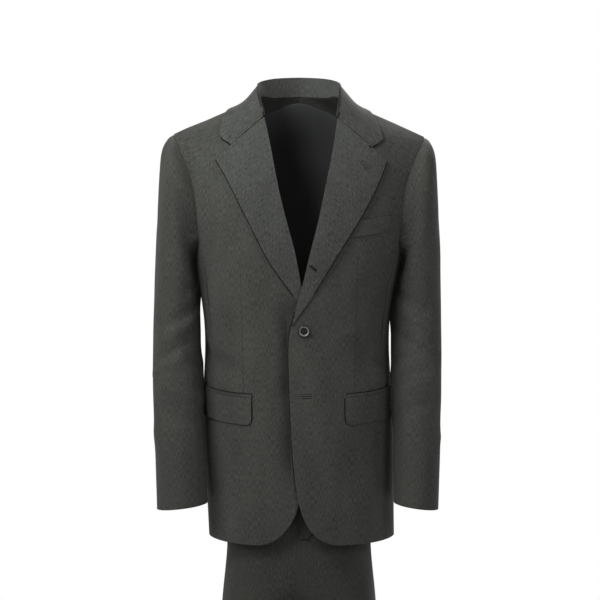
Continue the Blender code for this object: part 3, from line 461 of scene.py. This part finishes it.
# On a sleeve a place is the way round from the front (outward positive) and the height.
sleeveFolds = {
    "radius": 58.0,
    "depth": 1.35,
    # the folds fade out towards the shoulder and the cuff
    "shoulder": {"up": (-225, -150), "share": 0.95},
    "cuff": {"up": (-690, -640), "share": 0.35},
    # the sleeve closes on the body below the armhole
    "tuck": {"in": 2.8, "z": -228, "tall": 16, "from": 178, "to": 196},
    # the head's top meets the end of the shoulder
    "head": {"rise": 2.6, "y": 10, "long": 22, "from": 212, "to": 226, "up": (-84, -66)},
    "right": (
        (-91, -212, -91, -322, 26, 3.7),     # lies against the body
        (-91, -446, -91, -500, 20, 3.1),
        (-76, -214, -76, -300, 18, 2.4),
        (-70, -330, 10, -372, 10, -2.4),
        (-60, -352, 20, -398, 9, 1.9),
        (-80, -300, -20, -318, 11, -1.6),
        (-30, -402, 46, -440, 10, -2.0),
        (-10, -428, 60, -462, 10, 1.5),
        (-64, -452, 4, -430, 10, -1.8),
        (-60, -506, 24, -476, 11, 1.5),
        (-40, -540, 50, -514, 11, -1.6),
        (20, -250, 72, -206, 16, -1.4),
        (30, -590, 78, -560, 14, 1.1),
        (120, -350, 168, -380, 14, -1.8),
        (128, -410, 176, -396, 13, 1.6),
        (-120, -372, -166, -398, 13, -1.9),
        (-124, -430, -170, -414, 13, 1.4),
        (140, -500, 176, -470, 15, -1.4),
    ),
    "left": (
        (-91, -216, -91, -470, 26, 2.8),     # lies against the body
        (-91, -300, -91, -366, 22, 2.7),
        (-91, -470, -91, -540, 16, 1.6),
        (-76, -214, -76, -262, 18, 2.6),
        (-66, -312, 6, -350, 10, -2.2),
        (-58, -338, 22, -384, 9, 1.8),
        (-76, -376, 0, -410, 11, -2.1),
        (-24, -392, 50, -428, 10, 1.6),
        (-60, -440, 8, -418, 10, -1.7),
        (-40, -486, 40, -452, 11, 1.5),
        (-56, -528, 30, -498, 11, -1.7),
        (24, -240, 74, -196, 16, -1.5),
        (20, -600, 70, -566, 14, 1.2),
        (118, -338, 166, -372, 14, -1.7),
        (126, -404, 172, -388, 13, 1.6),
        (-122, -366, -168, -390, 13, -1.8),
        (-120, -424, -166, -410, 13, 1.3),
        (138, -492, 174, -466, 15, -1.5),
    ),
    # height, and the sleeve's middle there: outward and front to back
    "axis": (
        (-65, 205, 4), (-160, 206, 0), (-262, 206, -6), (-342, 206, -11), (-406, 206, -22),
        (-473, 207, -36), (-543, 206, -48), (-610, 203, -58), (-690, 197, -67),
    ),
}
# On a trouser leg a place is the way round from the front of the leg (outward positive) and the height.
trouserFolds = {
    "radius": 62.0,
    "middle": (66, 4),      # of a leg, across and front to back
    "waves": 1.2,
    "fade": (870, 960),      # depths between which the folds set in
    "seam": {"across": (6, 30), "share": 0.8},      # they are weaker by the inside leg
    "lines": (
        (-60, -1180, 20, -1150, 24, -2.2),
        (-10, -1215, 70, -1240, 22, 1.8),
        (110, -1190, 180, -1160, 26, -2.4),
        (-180, -1206, -110, -1236, 26, -2.0),
        (-20, -980, -12, -1120, 30, 1.6),
        (30, -1330, 26, -1540, 30, 1.5),
        (150, -1300, 160, -1500, 34, 1.6),
        (-80, -900, -20, -950, 20, -2.0),
    ),
}


def foldLift(across, up, lines):
    lift = np.zeros(len(across))
    for x1, z1, x2, z2, width, height in lines:
        run = np.array((x2 - x1, z2 - z1), float)
        length = np.hypot(*run)
        run /= length
        along = (across - x1) * run[0] + (up - z1) * run[1]
        off = (across - x1) * -run[1] + (up - z1) * run[0]
        past = np.maximum(0, np.maximum(-along, along - length))
        spread = 1 + foldShape["uneven"] * np.sin(along / foldShape["unevenStep"] + x1)
        side = np.exp(-(off / (width * spread)) ** 2)
        end = np.exp(-(past / (foldShape["endShare"] * width)) ** 2)
        lift += height * side * end
    return lift


def eased(value, low, high):
    share = np.clip((value - low) / (high - low), 0, 1)
    return share * share * (3 - 2 * share)


# A slow unevenness that every pressed cloth keeps: sines of uneven lengths that never line up.
softness = {"slow": 0.28, "quick": 0.18}


def softWave(x, y, z):
    slow = np.sin(x / 31 + 1.3) * np.sin(z / 47 + 0.4) + np.sin(y / 29 + 0.7) * np.sin(z / 38 + 2.1)
    quick = np.sin(x / 17 + z / 26) * np.sin(y / 21 + z / 33 + 1)
    return softness["slow"] * slow + softness["quick"] * quick


# The jacket hangs unevenly: the wearer's left shoulder lies lower than the right one. Each side sinks
# by so much, between these places outward and up, and the right one not at its end.
slump = {
    "left": {"sink": 4.8, "out": (60, 115), "up": (-330, -110)},
    "right": {"sink": 1.8, "out": (60, 100), "up": (-150, -90), "end": (150, 195)},
}


def dropShoulders(spots):
    x, _, z = spots.T
    left, right = slump["left"], slump["right"]
    sunk = eased(x, *left["out"]) * eased(z, *left["up"]) * left["sink"]
    inner = eased(-x, *right["out"]) * (1 - eased(-x, *right["end"]))
    sunk = sunk + inner * eased(z, *right["up"]) * right["sink"]
    return spots - np.stack((0 * x, 0 * x, sunk), 1)


# Each move returns the moved points and their places on the flat cloth, for its grain.
def moveBody(spots):
    x, y, z = spots.T
    angle = np.arctan2(x, -y)
    across = angle * bodyFolds["radius"]
    lift = foldLift(across, z, bodyFolds["lines"]) * bodyFolds["depth"]
    if x.mean() < 0:
        lift += foldLift(x, z, bodyFolds["under"]) * (y < 0)
    lift += softWave(x, y, z) * bodyFolds["waves"]
    neck, armhole = bodyFolds["neck"], bodyFolds["armhole"]
    lift *= 1 - neck["share"] * eased(z, *neck["up"])
    lift *= 1 - armhole["share"] * eased(np.abs(x), *armhole["across"]) * eased(z, *armhole["up"])
    away = np.stack((np.sin(angle), -np.cos(angle), np.zeros(len(x))), 1)
    return spots + away * lift[:, None], np.stack((across, z), 1)


def moveSleeve(spots, hand):
    x, y, z = spots.T
    rows = np.array(sleeveFolds["axis"])[::-1]
    middleX = np.interp(z, rows[:, 0], rows[:, 1])
    middleY = np.interp(z, rows[:, 0], rows[:, 2])
    dx = hand * x - middleX
    dy = y - middleY
    angle = np.arctan2(dx, -dy)
    across = angle * sleeveFolds["radius"]
    lines = sleeveFolds["left" if hand > 0 else "right"]
    lift = foldLift(across, z, lines) * sleeveFolds["depth"] + softWave(x, y, z)
    shoulder, cuff = sleeveFolds["shoulder"], sleeveFolds["cuff"]
    lift *= 1 - shoulder["share"] * eased(z, *shoulder["up"])
    lift *= cuff["share"] + (1 - cuff["share"]) * eased(z, *cuff["up"])
    away = np.stack((hand * np.sin(angle), -np.cos(angle), np.zeros(len(x))), 1)
    head = sleeveFolds["head"]
    rise = head["rise"] * np.exp(-((y - head["y"]) / head["long"]) ** 2)
    rise *= eased(z, *head["up"]) * (1 - eased(hand * x, head["from"], head["to"]))
    tuck = sleeveFolds["tuck"]
    inward = tuck["in"] * np.exp(-((z - tuck["z"]) / tuck["tall"]) ** 2)
    inward *= 1 - eased(hand * x, tuck["from"], tuck["to"])
    settled = spots + away * lift[:, None] + np.stack((-hand * inward, 0 * x, rise), 1)
    return settled, np.stack((across * hand, z), 1)


def moveTrousers(spots):
    x, y, z = spots.T
    side = np.where(x >= 0, 1.0, -1.0)
    middleX, middleY = trouserFolds["middle"]
    angle = np.arctan2(np.abs(x) - middleX, middleY - y)
    across = angle * trouserFolds["radius"]
    lift = foldLift(across, z, trouserFolds["lines"]) + softWave(x, y, z) * trouserFolds["waves"]
    seam = trouserFolds["seam"]
    near, far = seam["across"]
    lift *= eased(-z, *trouserFolds["fade"]) * (1 - seam["share"] * eased(-np.abs(x), -far, -near))
    away = np.stack((side * np.sin(angle), -np.cos(angle), np.zeros(len(x))), 1)
    return spots + away * lift[:, None], np.stack((across * side, z), 1)


neckRadius = 80


def stay(spots):
    x, y, z = spots.T
    return spots, np.stack((np.arctan2(x, -y) * neckRadius, z), 1)


# A lapel rolls softly: it rises from its fold towards the edge, less by its foot, and its grain turns.
lapelRoll = {
    "foldTop": (66, 20), "foldFoot": (4, -326), "width": 70.0, "lift": 2.4, "up": (-330, -250),
    "grainTurn": 24,
}


def moveLapel(spots):
    moved, _ = moveBody(spots)
    x, _, z = spots.T
    side = np.sign(x.mean())
    top = np.array(lapelRoll["foldTop"], float)
    run = np.array(lapelRoll["foldFoot"], float) - top
    run /= np.hypot(*run)
    away = (side * x - top[0]) * -run[1] + (z - top[1]) * run[0]
    roll = lapelRoll["lift"] * eased(away, 0, lapelRoll["width"]) * eased(z, *lapelRoll["up"])
    moved[:, 1] -= roll
    turn = math.radians(lapelRoll["grainTurn"])
    across = side * x * math.cos(turn) + z * math.sin(turn)
    along = z * math.cos(turn) - side * x * math.sin(turn)
    return moved, np.stack((across, along), 1)


# The collar's ends lean forward and sink onto the lapels.
collarEnd = {"out": (114, 132), "forward": 1.4, "sink": 3.0}


def moveCollar(spots):
    moved, flat = stay(spots)
    end = eased(np.abs(spots[:, 0]), *collarEnd["out"])
    moved = moved - np.stack((0 * end, end * collarEnd["forward"], end * collarEnd["sink"]), 1)
    return moved, flat


def moveBack(spots):
    moved, _ = moveBody(spots)
    x, y, z = spots.T
    return moved, np.stack((np.arctan2(x, y) * bodyFolds["radius"], z), 1)


# Cloth pieces: each takes its solid's walls, smooths them and lays in the folds.
sheets = {
    # node: folds, finish, cut width and length (m), area (m2), how it is held, what it rests on
    "front": (moveBody, "fronts", 0.26, 0.77, 0.130, "hung", ("back",)),
    "side": (moveBody, "cloth", 0.15, 0.52, 0.061, "hung", ("front", "back")),
    "back": (moveBack, "cloth", 0.23, 0.77, 0.136, "hung", ("front",)),
    "lapel": (moveLapel, "lapels", 0.13, 0.40, 0.0195, "folded", ("front",)),
    "sleeve_top": (moveSleeve, "cloth", 0.21, 0.64, 0.1005, "hung", ("front", "back")),
    "sleeve_under": (moveSleeve, "cloth", 0.16, 0.56, 0.0735, "hung", ("sleeve_top",)),
    "flap": (moveBody, "cloth", 0.145, 0.055, 0.0070, "hung", ("front", "side")),
    "jet": (moveBody, "cloth", 0.142, 0.010, 0.0010, "laid", ("front", "side")),
    "trouser_front": (moveTrousers, "trousers", 0.25, 1.08, 0.219, "hung", ("waistband",)),
    "trouser_back": (moveTrousers, "trousers", 0.25, 1.08, 0.220, "hung", ("waistband",)),
    "collar": (moveCollar, "lapels", 0.42, 0.11, 0.0358, "folded", ("front", "back")),
    "back_lining": (moveBack, "lining", 0.36, 0.37, 0.101, "hung", ("back",)),
    "breast_welt": (moveBody, "cloth", 0.106, 0.030, 0.0029, "laid", ("front_left",)),
    "waistband": (stay, "trousers", 0.75, 0.038, 0.0279, "hung", ()),
    "fly": (stay, "trousers", 0.055, 0.165, 0.0080, "laid", ("trouser_front_left",)),
}


# How a solid's walls become cloth: lengths in metres, angles in degrees.
smoothing = {
    "weld": 2e-5,
    "joinFlat": 40,
    "joinShape": 70,
    "crease": 50,
    "rimWidth": 0.0035,      # the raw edge's faces are narrower than this
    "levels": 2,
    "roll": 0.0007,
    "rollSegments": 3,
    "sharp": 46,
    "sewnSharp": 50,      # of what is sewn on
    "sleeveHead": 0.0026,      # how far below its top the sleeve head is kept
    "collarEnd": 0.0015,
}
letOut = {"sleeve_top": 0.0005, "sleeve_under": 0.0004, "trouser_front": 0.0005, "trouser_back": 0.0005}
letOutElse = 0.00028


def closeSeams(cloth, crease, grow):
    # every piece's raw edge is let out a little, so that no light comes through its seams
    towards = {}
    for face in cloth.faces:
        hard = [edge for edge in face.edges if edge[crease] > 0.5]
        lengths = [edge.calc_length() for edge in face.edges]
        if len(hard) < 2 or min(lengths) > smoothing["rimWidth"]:
            continue
        if face.calc_area() / max(lengths) > smoothing["rimWidth"]:
            continue
        face.material_index = 1
        for vert in face.verts:
            towards[vert] = towards.get(vert, Vector()) + face.normal
    for vert, way in towards.items():
        if way.length > 0:
            vert.co += way.normalized() * grow


def keepCorners(cloth, kind):
    # the smoothing would cut these corners: the top of the sleeve head and the ends of the collar
    keep = cloth.verts.layers.float.new("crease_vert")
    if kind == "sleeve_top":
        top = max(vert.co.z for vert in cloth.verts)
        corners = [vert for vert in cloth.verts if vert.co.z > top - smoothing["sleeveHead"]]
    elif kind == "collar":
        end = max(abs(vert.co.x) for vert in cloth.verts)
        corners = [vert for vert in cloth.verts if abs(vert.co.x) > end - smoothing["collarEnd"]]
    else:
        corners = []
    for vert in corners:
        vert[keep] = 1.0


def smoothedPiece(node, kind, finish):
    cloth = bmesh.new()
    cloth.from_mesh(nodes[node].data)
    bmesh.ops.remove_doubles(cloth, verts=cloth.verts, dist=smoothing["weld"])
    bmesh.ops.join_triangles(
        cloth, faces=cloth.faces, angle_face_threshold=math.radians(smoothing["joinFlat"]),
        angle_shape_threshold=math.radians(smoothing["joinShape"]))
    crease = cloth.edges.layers.float.new("crease_edge")
    hardAngle = math.radians(smoothing["crease"])
    for edge in cloth.edges:
        if len(edge.link_faces) == 2 and edge.calc_face_angle() > hardAngle:
            edge[crease] = 1.0
    closeSeams(cloth, crease, letOut.get(kind, letOutElse))
    keepCorners(cloth, kind)
    mesh = bpy.data.meshes.new(node + "_cloth")
    cloth.to_mesh(mesh)
    cloth.free()
    for name in (finish, finish if kind == "fly" else "edge"):
        mesh.materials.append(finishes[name])
    piece = bpy.data.objects.new(node + "_cloth", mesh)
    bpy.context.scene.collection.objects.link(piece)
    subdivision = piece.modifiers.new("smooth", "SUBSURF")
    subdivision.levels = smoothing["levels"]
    subdivision.render_levels = smoothing["levels"]
    roll = piece.modifiers.new("rolled edge", "BEVEL")
    roll.width = smoothing["roll"]
    roll.segments = smoothing["rollSegments"]
    roll.limit_method = "ANGLE"
    roll.angle_limit = hardAngle
    applyModifiers(piece)
    return piece


def applyModifiers(piece):
    graph = bpy.context.evaluated_depsgraph_get()
    mesh = bpy.data.meshes.new_from_object(piece.evaluated_get(graph))
    piece.modifiers.clear()
    old = piece.data
    piece.data = mesh
    mesh.name = piece.name
    bpy.data.meshes.remove(old)


def spotsOf(mesh):
    spots = np.zeros(len(mesh.vertices) * 3)
    mesh.vertices.foreach_get("co", spots)
    return spots.reshape(-1, 3)


def layCloth(node, kind, hand):
    move, finish, width, length, area, held, rests = sheets[kind]
    piece = smoothedPiece(node, kind, finish)
    mesh = piece.data
    spots = spotsOf(mesh) * 1000
    if move is moveSleeve:
        moved, flat = move(spots, hand)
    else:
        moved, flat = move(spots)
    moved = dropShoulders(moved)
    mesh.vertices.foreach_set("co", (moved / 1000).ravel())
    corners = np.zeros(len(mesh.loops), int)
    mesh.loops.foreach_get("vertex_index", corners)
    grain = mesh.uv_layers.new(name="grain")
    grain.uv.foreach_set("vector", (flat / 1000)[corners].ravel())
    mesh.shade_smooth()
    mesh.set_sharp_from_angle(angle=math.radians(smoothing["sharp"]))
    mesh.update()
    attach(piece, "root")
    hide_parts(node)
    ends = {1: "_left", -1: "_right", 0: ""}[hand]
    rests = [name + ends if name + ends in nodes else name for name in rests]
    return piece


clothPieces = {}
for node in sorted(nodes):
    hand = 1 if node.endswith("_left") else -1 if node.endswith("_right") else 0
    kind = node.removesuffix("_left").removesuffix("_right")
    if kind in sheets:
        clothPieces[node] = layCloth(node, kind, hand)
print("cloth pieces:", len(clothPieces))


def clothTree(names):
    form = bmesh.new()
    for name in names:
        form.from_mesh(clothPieces[name].data)
    tree = BVHTree.FromBMesh(form)
    form.free()
    return tree


# The sleeves' armhole edges are drawn onto the body's, and the cloth beside them follows.
seat = {"lowest": -0.245, "reach": 0.007, "overlap": 0.0003, "follow": 0.022}


def seatSleeve(piece, tree):
    mesh = piece.data
    spots = spotsOf(mesh)
    rimFaces = [face for face in mesh.polygons if face.material_index == 1]
    held, shifts = [], []
    for index in sorted({corner for face in rimFaces for corner in face.vertices}):
        if spots[index, 2] < seat["lowest"]:
            continue
        spot = Vector(spots[index])
        near, _, _, far = tree.find_nearest(spot)
        if far > seat["reach"]:
            continue
        way = near - spot
        held.append(index)
        shifts.append(way + way.normalized() * seat["overlap"])
    held, shifts = np.array(held), np.array(shifts)
    batch = 500      # points at a time, to spare memory
    for start in range(0, len(spots), batch):
        part = spots[start:start + batch]
        apart = np.linalg.norm(part[:, None] - spots[held][None], axis=2)
        nearest = apart.argmin(1)
        share = 1 - eased(apart[np.arange(len(part)), nearest], 0, seat["follow"])
        moved = part + shifts[nearest] * share[:, None]
        for number, spot in enumerate(moved):
            mesh.vertices[start + number].co = spot
    mesh.update()


for hand in ("left", "right"):
    bodyTree = clothTree([f"{kind}_{hand}" for kind in ("front", "side", "back")])
    for kind in ("sleeve_top", "sleeve_under"):
        seatSleeve(clothPieces[f"{kind}_{hand}"], bodyTree)
print("sleeves seated")


# What is sewn on the front is put where a line of sight from outside meets the cloth.
frontKinds = ("front", "lapel", "flap", "jet", "breast", "side")
frontTree = clothTree([name for name in clothPieces if name.startswith(frontKinds)])
sightFrom = -0.6      # metres, in front of the suit


def onFront(x, z):
    spot, facing, _, _ = frontTree.ray_cast(Vector((x / 1000, sightFrom, z / 1000)), Vector((0, 1, 0)))
    if facing.y > 0:
        facing = -facing
    return spot, facing


def upright(spot, facing, turn=0.0):
    # a frame on the cloth: third axis outward, second axis up, then turned
    side = Vector((0, 0, 1)).cross(facing).normalized()
    rise = facing.cross(side)
    frameTurn = Matrix((side, rise, facing)).transposed().to_4x4()
    return Matrix.Translation(spot) @ frameTurn @ Matrix.Rotation(turn, 4, "Z")


def finishPiece(name, form, finish, replaced=()):
    mesh = bpy.data.meshes.new(name)
    form.to_mesh(mesh)
    form.free()
    mesh.shade_smooth()
    mesh.set_sharp_from_angle(angle=math.radians(smoothing["sewnSharp"]))
    for each in finish:
        mesh.materials.append(finishes[each])
    piece = bpy.data.objects.new(name, mesh)
    bpy.context.scene.collection.objects.link(piece)
    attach(piece, "root")
    if replaced:
        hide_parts(*replaced)
    return piece


# Buttons: turned horn with a raised rim, a dished face and four holes, sewn on with dark twist.
# In millimetres; the painted highlight ring lies between two shares of the radius.
buttons = {
    "front": {"radius": 10.0, "thick": 3.4, "hole": 0.95, "apart": 1.75, "strand": 0.30, "sides": 56,
              "ring": (0.58, 0.83), "above": 0.4},
    "cuff": {"radius": 6.4, "thick": 2.5, "hole": 0.6, "apart": 1.15, "strand": 0.20, "sides": 32,
             "ring": (0.60, 0.80), "above": 0.3},
    "frontPlace": (8.3, -379.7),
    # shares of the radius and of the thickness, from the middle of the back to that of the face
    "outline": (
        (0, 0), (0.80, 0), (0.93, 0.10), (1.0, 0.34), (1.0, 0.62), (0.965, 0.86), (0.90, 0.98),
        (0.83, 1.0), (0.76, 0.93), (0.70, 0.76), (0.62, 0.62), (0.50, 0.56), (0, 0.54)),
    "holeSides": 14,
    "rod": 20.0,
    "threadHigh": 0.60,      # share of the thickness
    "strandStep": 1.5,      # in strands
    "strandRise": 1.6,
    "strandReach": 0.56,      # half its length, in distances between holes
}


def turnedButton(size):
    radius, thick = size["radius"] / 1000, size["thick"] / 1000
    form = bmesh.new()
    profile = [form.verts.new((r * radius, 0, h * thick)) for r, h in buttons["outline"]]
    edges = [form.edges.new(pair) for pair in zip(profile, profile[1:])]
    bmesh.ops.spin(
        form, geom=profile + edges, cent=(0, 0, 0), axis=(0, 0, 1), angle=math.tau,
        steps=size["sides"], use_merge=True)
    bmesh.ops.remove_doubles(form, verts=form.verts, dist=1e-6)
    bmesh.ops.recalc_face_normals(form, faces=form.faces)
    return form


def drilled(form, size):
    # four holes through the button, cut with short rods
    blank = bpy.data.meshes.new("blank")
    form.to_mesh(blank)
    form.free()
    button = bpy.data.objects.new("blank", blank)
    rods = bmesh.new()
    half = size["apart"] / 2000
    radius = size["hole"] / 2000
    for across in (-half, half):
        for up in (-half, half):
            bmesh.ops.create_cone(
                rods, cap_ends=True, segments=buttons["holeSides"], radius1=radius, radius2=radius,
                depth=buttons["rod"] / 1000, matrix=Matrix.Translation((across, up, 0.001)))
    cutter = bpy.data.meshes.new("rods")
    rods.to_mesh(cutter)
    rods.free()
    drill = bpy.data.objects.new("rods", cutter)
    for thing in (button, drill):
        bpy.context.scene.collection.objects.link(thing)
    cut = button.modifiers.new("holes", "BOOLEAN")
    cut.operation = "DIFFERENCE"
    cut.object = drill
    graph = bpy.context.evaluated_depsgraph_get()
    result = bmesh.new()
    result.from_mesh(button.evaluated_get(graph).to_mesh())
    for thing in (button, drill):
        data = thing.data
        bpy.data.objects.remove(thing)
        bpy.data.meshes.remove(data)
    return result


def addStrand(form, middle, reach, thick, rise):
    # one turn of thread from hole to hole, its ends inside them
    place = Matrix.Translation(middle) @ Matrix.Diagonal((reach, thick, rise, 1))
    bmesh.ops.create_uvsphere(form, u_segments=10, v_segments=6, radius=1.0, matrix=place)


def sewButton(name, size, spot, facing, replaced):
    place = upright(spot + facing * size["above"] / 1000, facing)
    body = drilled(turnedButton(size), size)
    for face in body.faces:
        middle = face.calc_center_median()
        out = math.hypot(middle.x, middle.y) * 1000 / size["radius"]
        # faces on the face side between those shares take the painted highlight
        if size["ring"][0] < out < size["ring"][1] and middle.z > size["thick"] / 2000:
            face.material_index = 1
    bmesh.ops.transform(body, matrix=place, verts=body.verts)
    finishPiece(name, body, ("horn", "hornHighlight"), replaced)
    thread = bmesh.new()
    apart = size["apart"] / 1000
    strand = size["strand"] / 1000
    height = size["thick"] / 1000 * buttons["threadHigh"]
    reach = apart * buttons["strandReach"]
    for up in (-apart / 2, apart / 2):
        for number in (-1, 0, 1):
            middle = Vector((0, up + number * strand * buttons["strandStep"], height))
            addStrand(thread, middle, reach, strand, strand * buttons["strandRise"])
    bmesh.ops.transform(thread, matrix=place, verts=thread.verts)
    finishPiece(name + "_thread", thread, ("thread",))


sewButton("button_middle_horn", buttons["front"], *onFront(*buttons["frontPlace"]), ("button_middle",))
for hand in ("left", "right"):
    sleeveTree = clothTree(["sleeve_top_" + hand, "sleeve_under_" + hand])
    for number in (1, 2, 3, 4):
        node = f"cuff_button_{hand}_{number}"
        low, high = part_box(node)
        middle = (low + high) / 2
        spot, facing, _, _ = sleeveTree.find_nearest(middle)
        if facing.dot(middle - spot) < 0:
            facing = -facing
        sewButton(node + "_horn", buttons["cuff"], spot, facing, (node,))
print("buttons sewn")


# Buttonholes: purl stitches stand round a slit, with an eye at the end by the front edge. The slit, the
# inside of the eye and the cloth past the stitches' ends are dark marks of painted shadow. Each is put
# by its place across and up the front, in millimetres.
holes = (
    # name, eye end, far end, reach of a stitch, half width of the slit, whether it has an eye
    ("lapel_hole", (116.0, -111.2), (103.4, -98.4), 2.1, 0.40, False),
    ("upper_hole", (17.0, -268.6), (29.4, -278.2), 1.0, 1.25, True),
    ("lower_hole", (2.6, -489.0), (21.2, -488.2), 2.5, 0.45, True),
)
stitch = {
    "step": 0.80, "thick": 0.24, "high": 0.36, "above": 0.10,
    # painted shadow where the stitches sink the cloth at their outer ends: how far out, and the mark's
    # size
    "sinkOut": 0.25, "sink": (0.9, 0.5, 0.2),
    # the slit's dark mark is a painted shadow
    "slitLong": 1.9, "slitHigh": 0.16,      # a mark of the slit, long in steps, so that they overlap
    # the eye: where the slit begins, stitches round it between two angles, and the painted shadow inside
    "slitFrom": 2.4, "eyeMiddle": 0.8, "eyeStitches": 11, "eyeTurns": (40, 320),
    "eyeOut": 1.7, "eyeLong": 1.5, "eyeDarkOut": 0.5, "eyeDark": (1.1, 0.55, 0.18),
    # the bar across the far end
    "barPlaces": (-1.4, -0.7, 0, 0.7, 1.4), "barOut": 0.5, "barSpread": 1.6, "barLong": 0.7,
}


def addStitch(form, spot, turn, long, thick, high):
    place, facing = onFront(spot.x, spot.y)
    place = upright(place + facing * stitch["above"] / 1000, facing, turn)
    size = Matrix.Diagonal((long / 2000, thick / 1000, high / 1000, 1))
    bmesh.ops.create_icosphere(form, subdivisions=1, radius=1.0, matrix=place @ size)


def workButtonhole(name, eye, end, reach, slit, withEye):
    thread, shade = bmesh.new(), bmesh.new()
    eye, end = Vector(eye), Vector(end)
    run = (end - eye).normalized()
    across = Vector((-run.y, run.x))
    slope = math.atan2(across.y, across.x)
    slitTurn = slope + math.pi / 2
    size = (stitch["thick"], stitch["high"])
    first = stitch["slitFrom"] if withEye else 0.0
    length = (end - eye).length - first
    count = round(length / stitch["step"])
    for number in range(count + 1):
        middle = eye + run * (first + length * number / count)
        for side in (-1, 1):
            addStitch(thread, middle + across * side * (slit + reach / 2), slope, reach, *size)
            spot = middle + across * side * (slit + reach + stitch["sinkOut"])
            addStitch(shade, spot, slitTurn, *stitch["sink"])
        long = stitch["step"] * stitch["slitLong"]
        addStitch(shade, middle, slitTurn, long, slit, stitch["slitHigh"])
    low, high = stitch["eyeTurns"]
    for number in range(stitch["eyeStitches"] if withEye else 0):
        turn = math.radians(low + (high - low) * number / (stitch["eyeStitches"] - 1))
        out = run * math.cos(turn) + across * math.sin(turn)
        middle = eye + run * stitch["eyeMiddle"]
        outward = math.atan2(out.y, out.x)
        addStitch(thread, middle + out * stitch["eyeOut"], outward, stitch["eyeLong"], *size)
        addStitch(shade, middle + out * stitch["eyeDarkOut"], 0.0, *stitch["eyeDark"])
    for side in stitch["barPlaces"]:
        spot = end + run * stitch["barOut"] + across * side * reach / stitch["barSpread"]
        addStitch(thread, spot, slope, reach * stitch["barLong"], *size)
    finishPiece(name, thread, ("paleThread",))
    # the slit, eye and sink marks together: painted shadow
    finishPiece(name + "_painted_shadow", shade, ("shadow",))


# The deep shade along a free edge: a thin dark strip on the cloth beneath it, in millimetres.
shades = {
    # piece: width of the strip, then first place, last place and step along the edge
    "lapel": (1.7, -101, -326, -5.0),
    "notch": (2.2, 117, 133, 3.0),
    "flap": (1.6, -497, -538, -3.0),
    "jet": (1.5, 76, 150, 3.0),
    "front": (1.3, -345, -655, -5.0),
    "weltWidth": 1.2,
    "band": 3.5,      # points this near a place count as there
    "within": 0.3,      # share of the width that lies under the edge
    "above": 0.15,
}


def edgeBeyond(name, axis, places, sign):
    # the outermost points of a piece, at places along one axis (0 across, 2 up)
    spots = spotsOf(clothPieces[name].data) * 1000
    other = 2 - axis
    found = []
    for place in places:
        band = spots[np.abs(spots[:, axis] - place) < shades["band"]]
        if len(band):
            best = band[(band[:, other] * sign).argmax()]
            found.append((best[0], best[2]))
    return found


def layShade(name, edge, width):
    form = bmesh.new()
    edge = [Vector(point) for point in edge]
    rows = []
    for before, point, after in zip([edge[0]] + edge, edge, edge[1:] + [edge[-1]]):
        run = (after - before).normalized()
        out = Vector((run.y, -run.x)) * width
        row = []
        for place in (point - out * shades["within"], point + out):
            spot, facing = onFront(place.x, place.y)
            row.append(form.verts.new(spot + facing * shades["above"] / 1000))
        rows.append(row)
    for first, second in zip(rows, rows[1:]):
        form.faces.new((first[0], first[1], second[1], second[0]))
    bmesh.ops.recalc_face_normals(form, faces=form.faces)
    finishPiece("shade_" + name, form, ("shade",))


def shadeEdge(kind, hand, piece, axis, sign, backward):
    # along one axis of a piece, at its outermost points to the side of the sign
    width, first, last, step = shades[kind]
    places = np.arange(first, last, step)
    if kind in ("notch", "jet"):
        places = hand * places
    edge = edgeBeyond(piece, axis, places, sign)
    name = kind + {1: "_left", -1: "_right", 0: ""}[hand]
    layShade(name, edge[::-1] if backward else edge, width)


for hand, end in ((1, "_left"), (-1, "_right")):
    shadeEdge("lapel", hand, "lapel" + end, 2, hand, hand > 0)
    shadeEdge("notch", hand, "collar", 0, -1, hand < 0)
    shadeEdge("flap", hand, "flap" + end, 2, -hand, hand < 0)
    shadeEdge("jet", hand, "jet" + end, 0, 1, hand > 0)
shadeEdge("front", 0, "front_left", 2, -1, False)
spots = spotsOf(clothPieces["breast_welt"].data)[:, (0, 2)] * 1000
corners = [spots[(spots @ way).argmax()] for way in ((-1, -1), (1, -1), (1, 1), (-1, 1))]
layShade("welt", corners, shades["weltWidth"])
print("edges shaded")


for values in holes:
    workButtonhole(*values)
print("buttonholes worked:", len(holes))


# Tacks: a short bar of thread, bowed like a D, holds the front end of each pocket mouth.
tacks = {
    "places": (("right", -72.4, -487.4), ("left", 77.2, -486.4)),
    "long": 7.0, "bow": 1.3, "stitches": 11,
    "over": (1.3, 0.36, 0.34),      # a stitch over the bar, and one along it
    "along": (2.4, 0.25, 0.3), "alongEvery": 3,
}
for name, x, z in tacks["places"]:
    bar = bmesh.new()
    for number in range(tacks["stitches"]):
        share = number / (tacks["stitches"] - 1)
        down = z - tacks["long"] * share
        bow = math.copysign(tacks["bow"] * math.sin(math.pi * share), -x)
        addStitch(bar, Vector((x + bow, down)), 0.0, *tacks["over"])
        if number % tacks["alongEvery"] == 0:
            addStitch(bar, Vector((x, down)), math.pi / 2, *tacks["along"])
    finishPiece("tack_" + name, bar, ("paleThread",))
print("tacks sewn")


def layFloor(setup):
    material, shader, start = newMaterial("paleFloor", Roughness=setup["floorRoughness"])
    spot = start.add("ShaderNodeTexCoord", output=3)
    cloud = start.add("ShaderNodeTexNoise", values={"Vector": spot, "Scale": setup["floorClouds"]})
    feed(shader, "Base Color", cloud.blend(*setup["floorColours"]))
    form = bmesh.new()
    bmesh.ops.create_circle(
        form, cap_ends=True, segments=setup["floorSides"], radius=setup["floorSize"])
    bmesh.ops.translate(form, verts=form.verts, vec=(0, 0, setup["floorHeight"]))
    mesh = bpy.data.meshes.new("floor")
    form.to_mesh(mesh)
    form.free()
    mesh.materials.append(material)
    floor = bpy.data.objects.new("floor", mesh)
    bpy.context.scene.collection.objects.link(floor)


layFloor(studio)
print("floor laid")
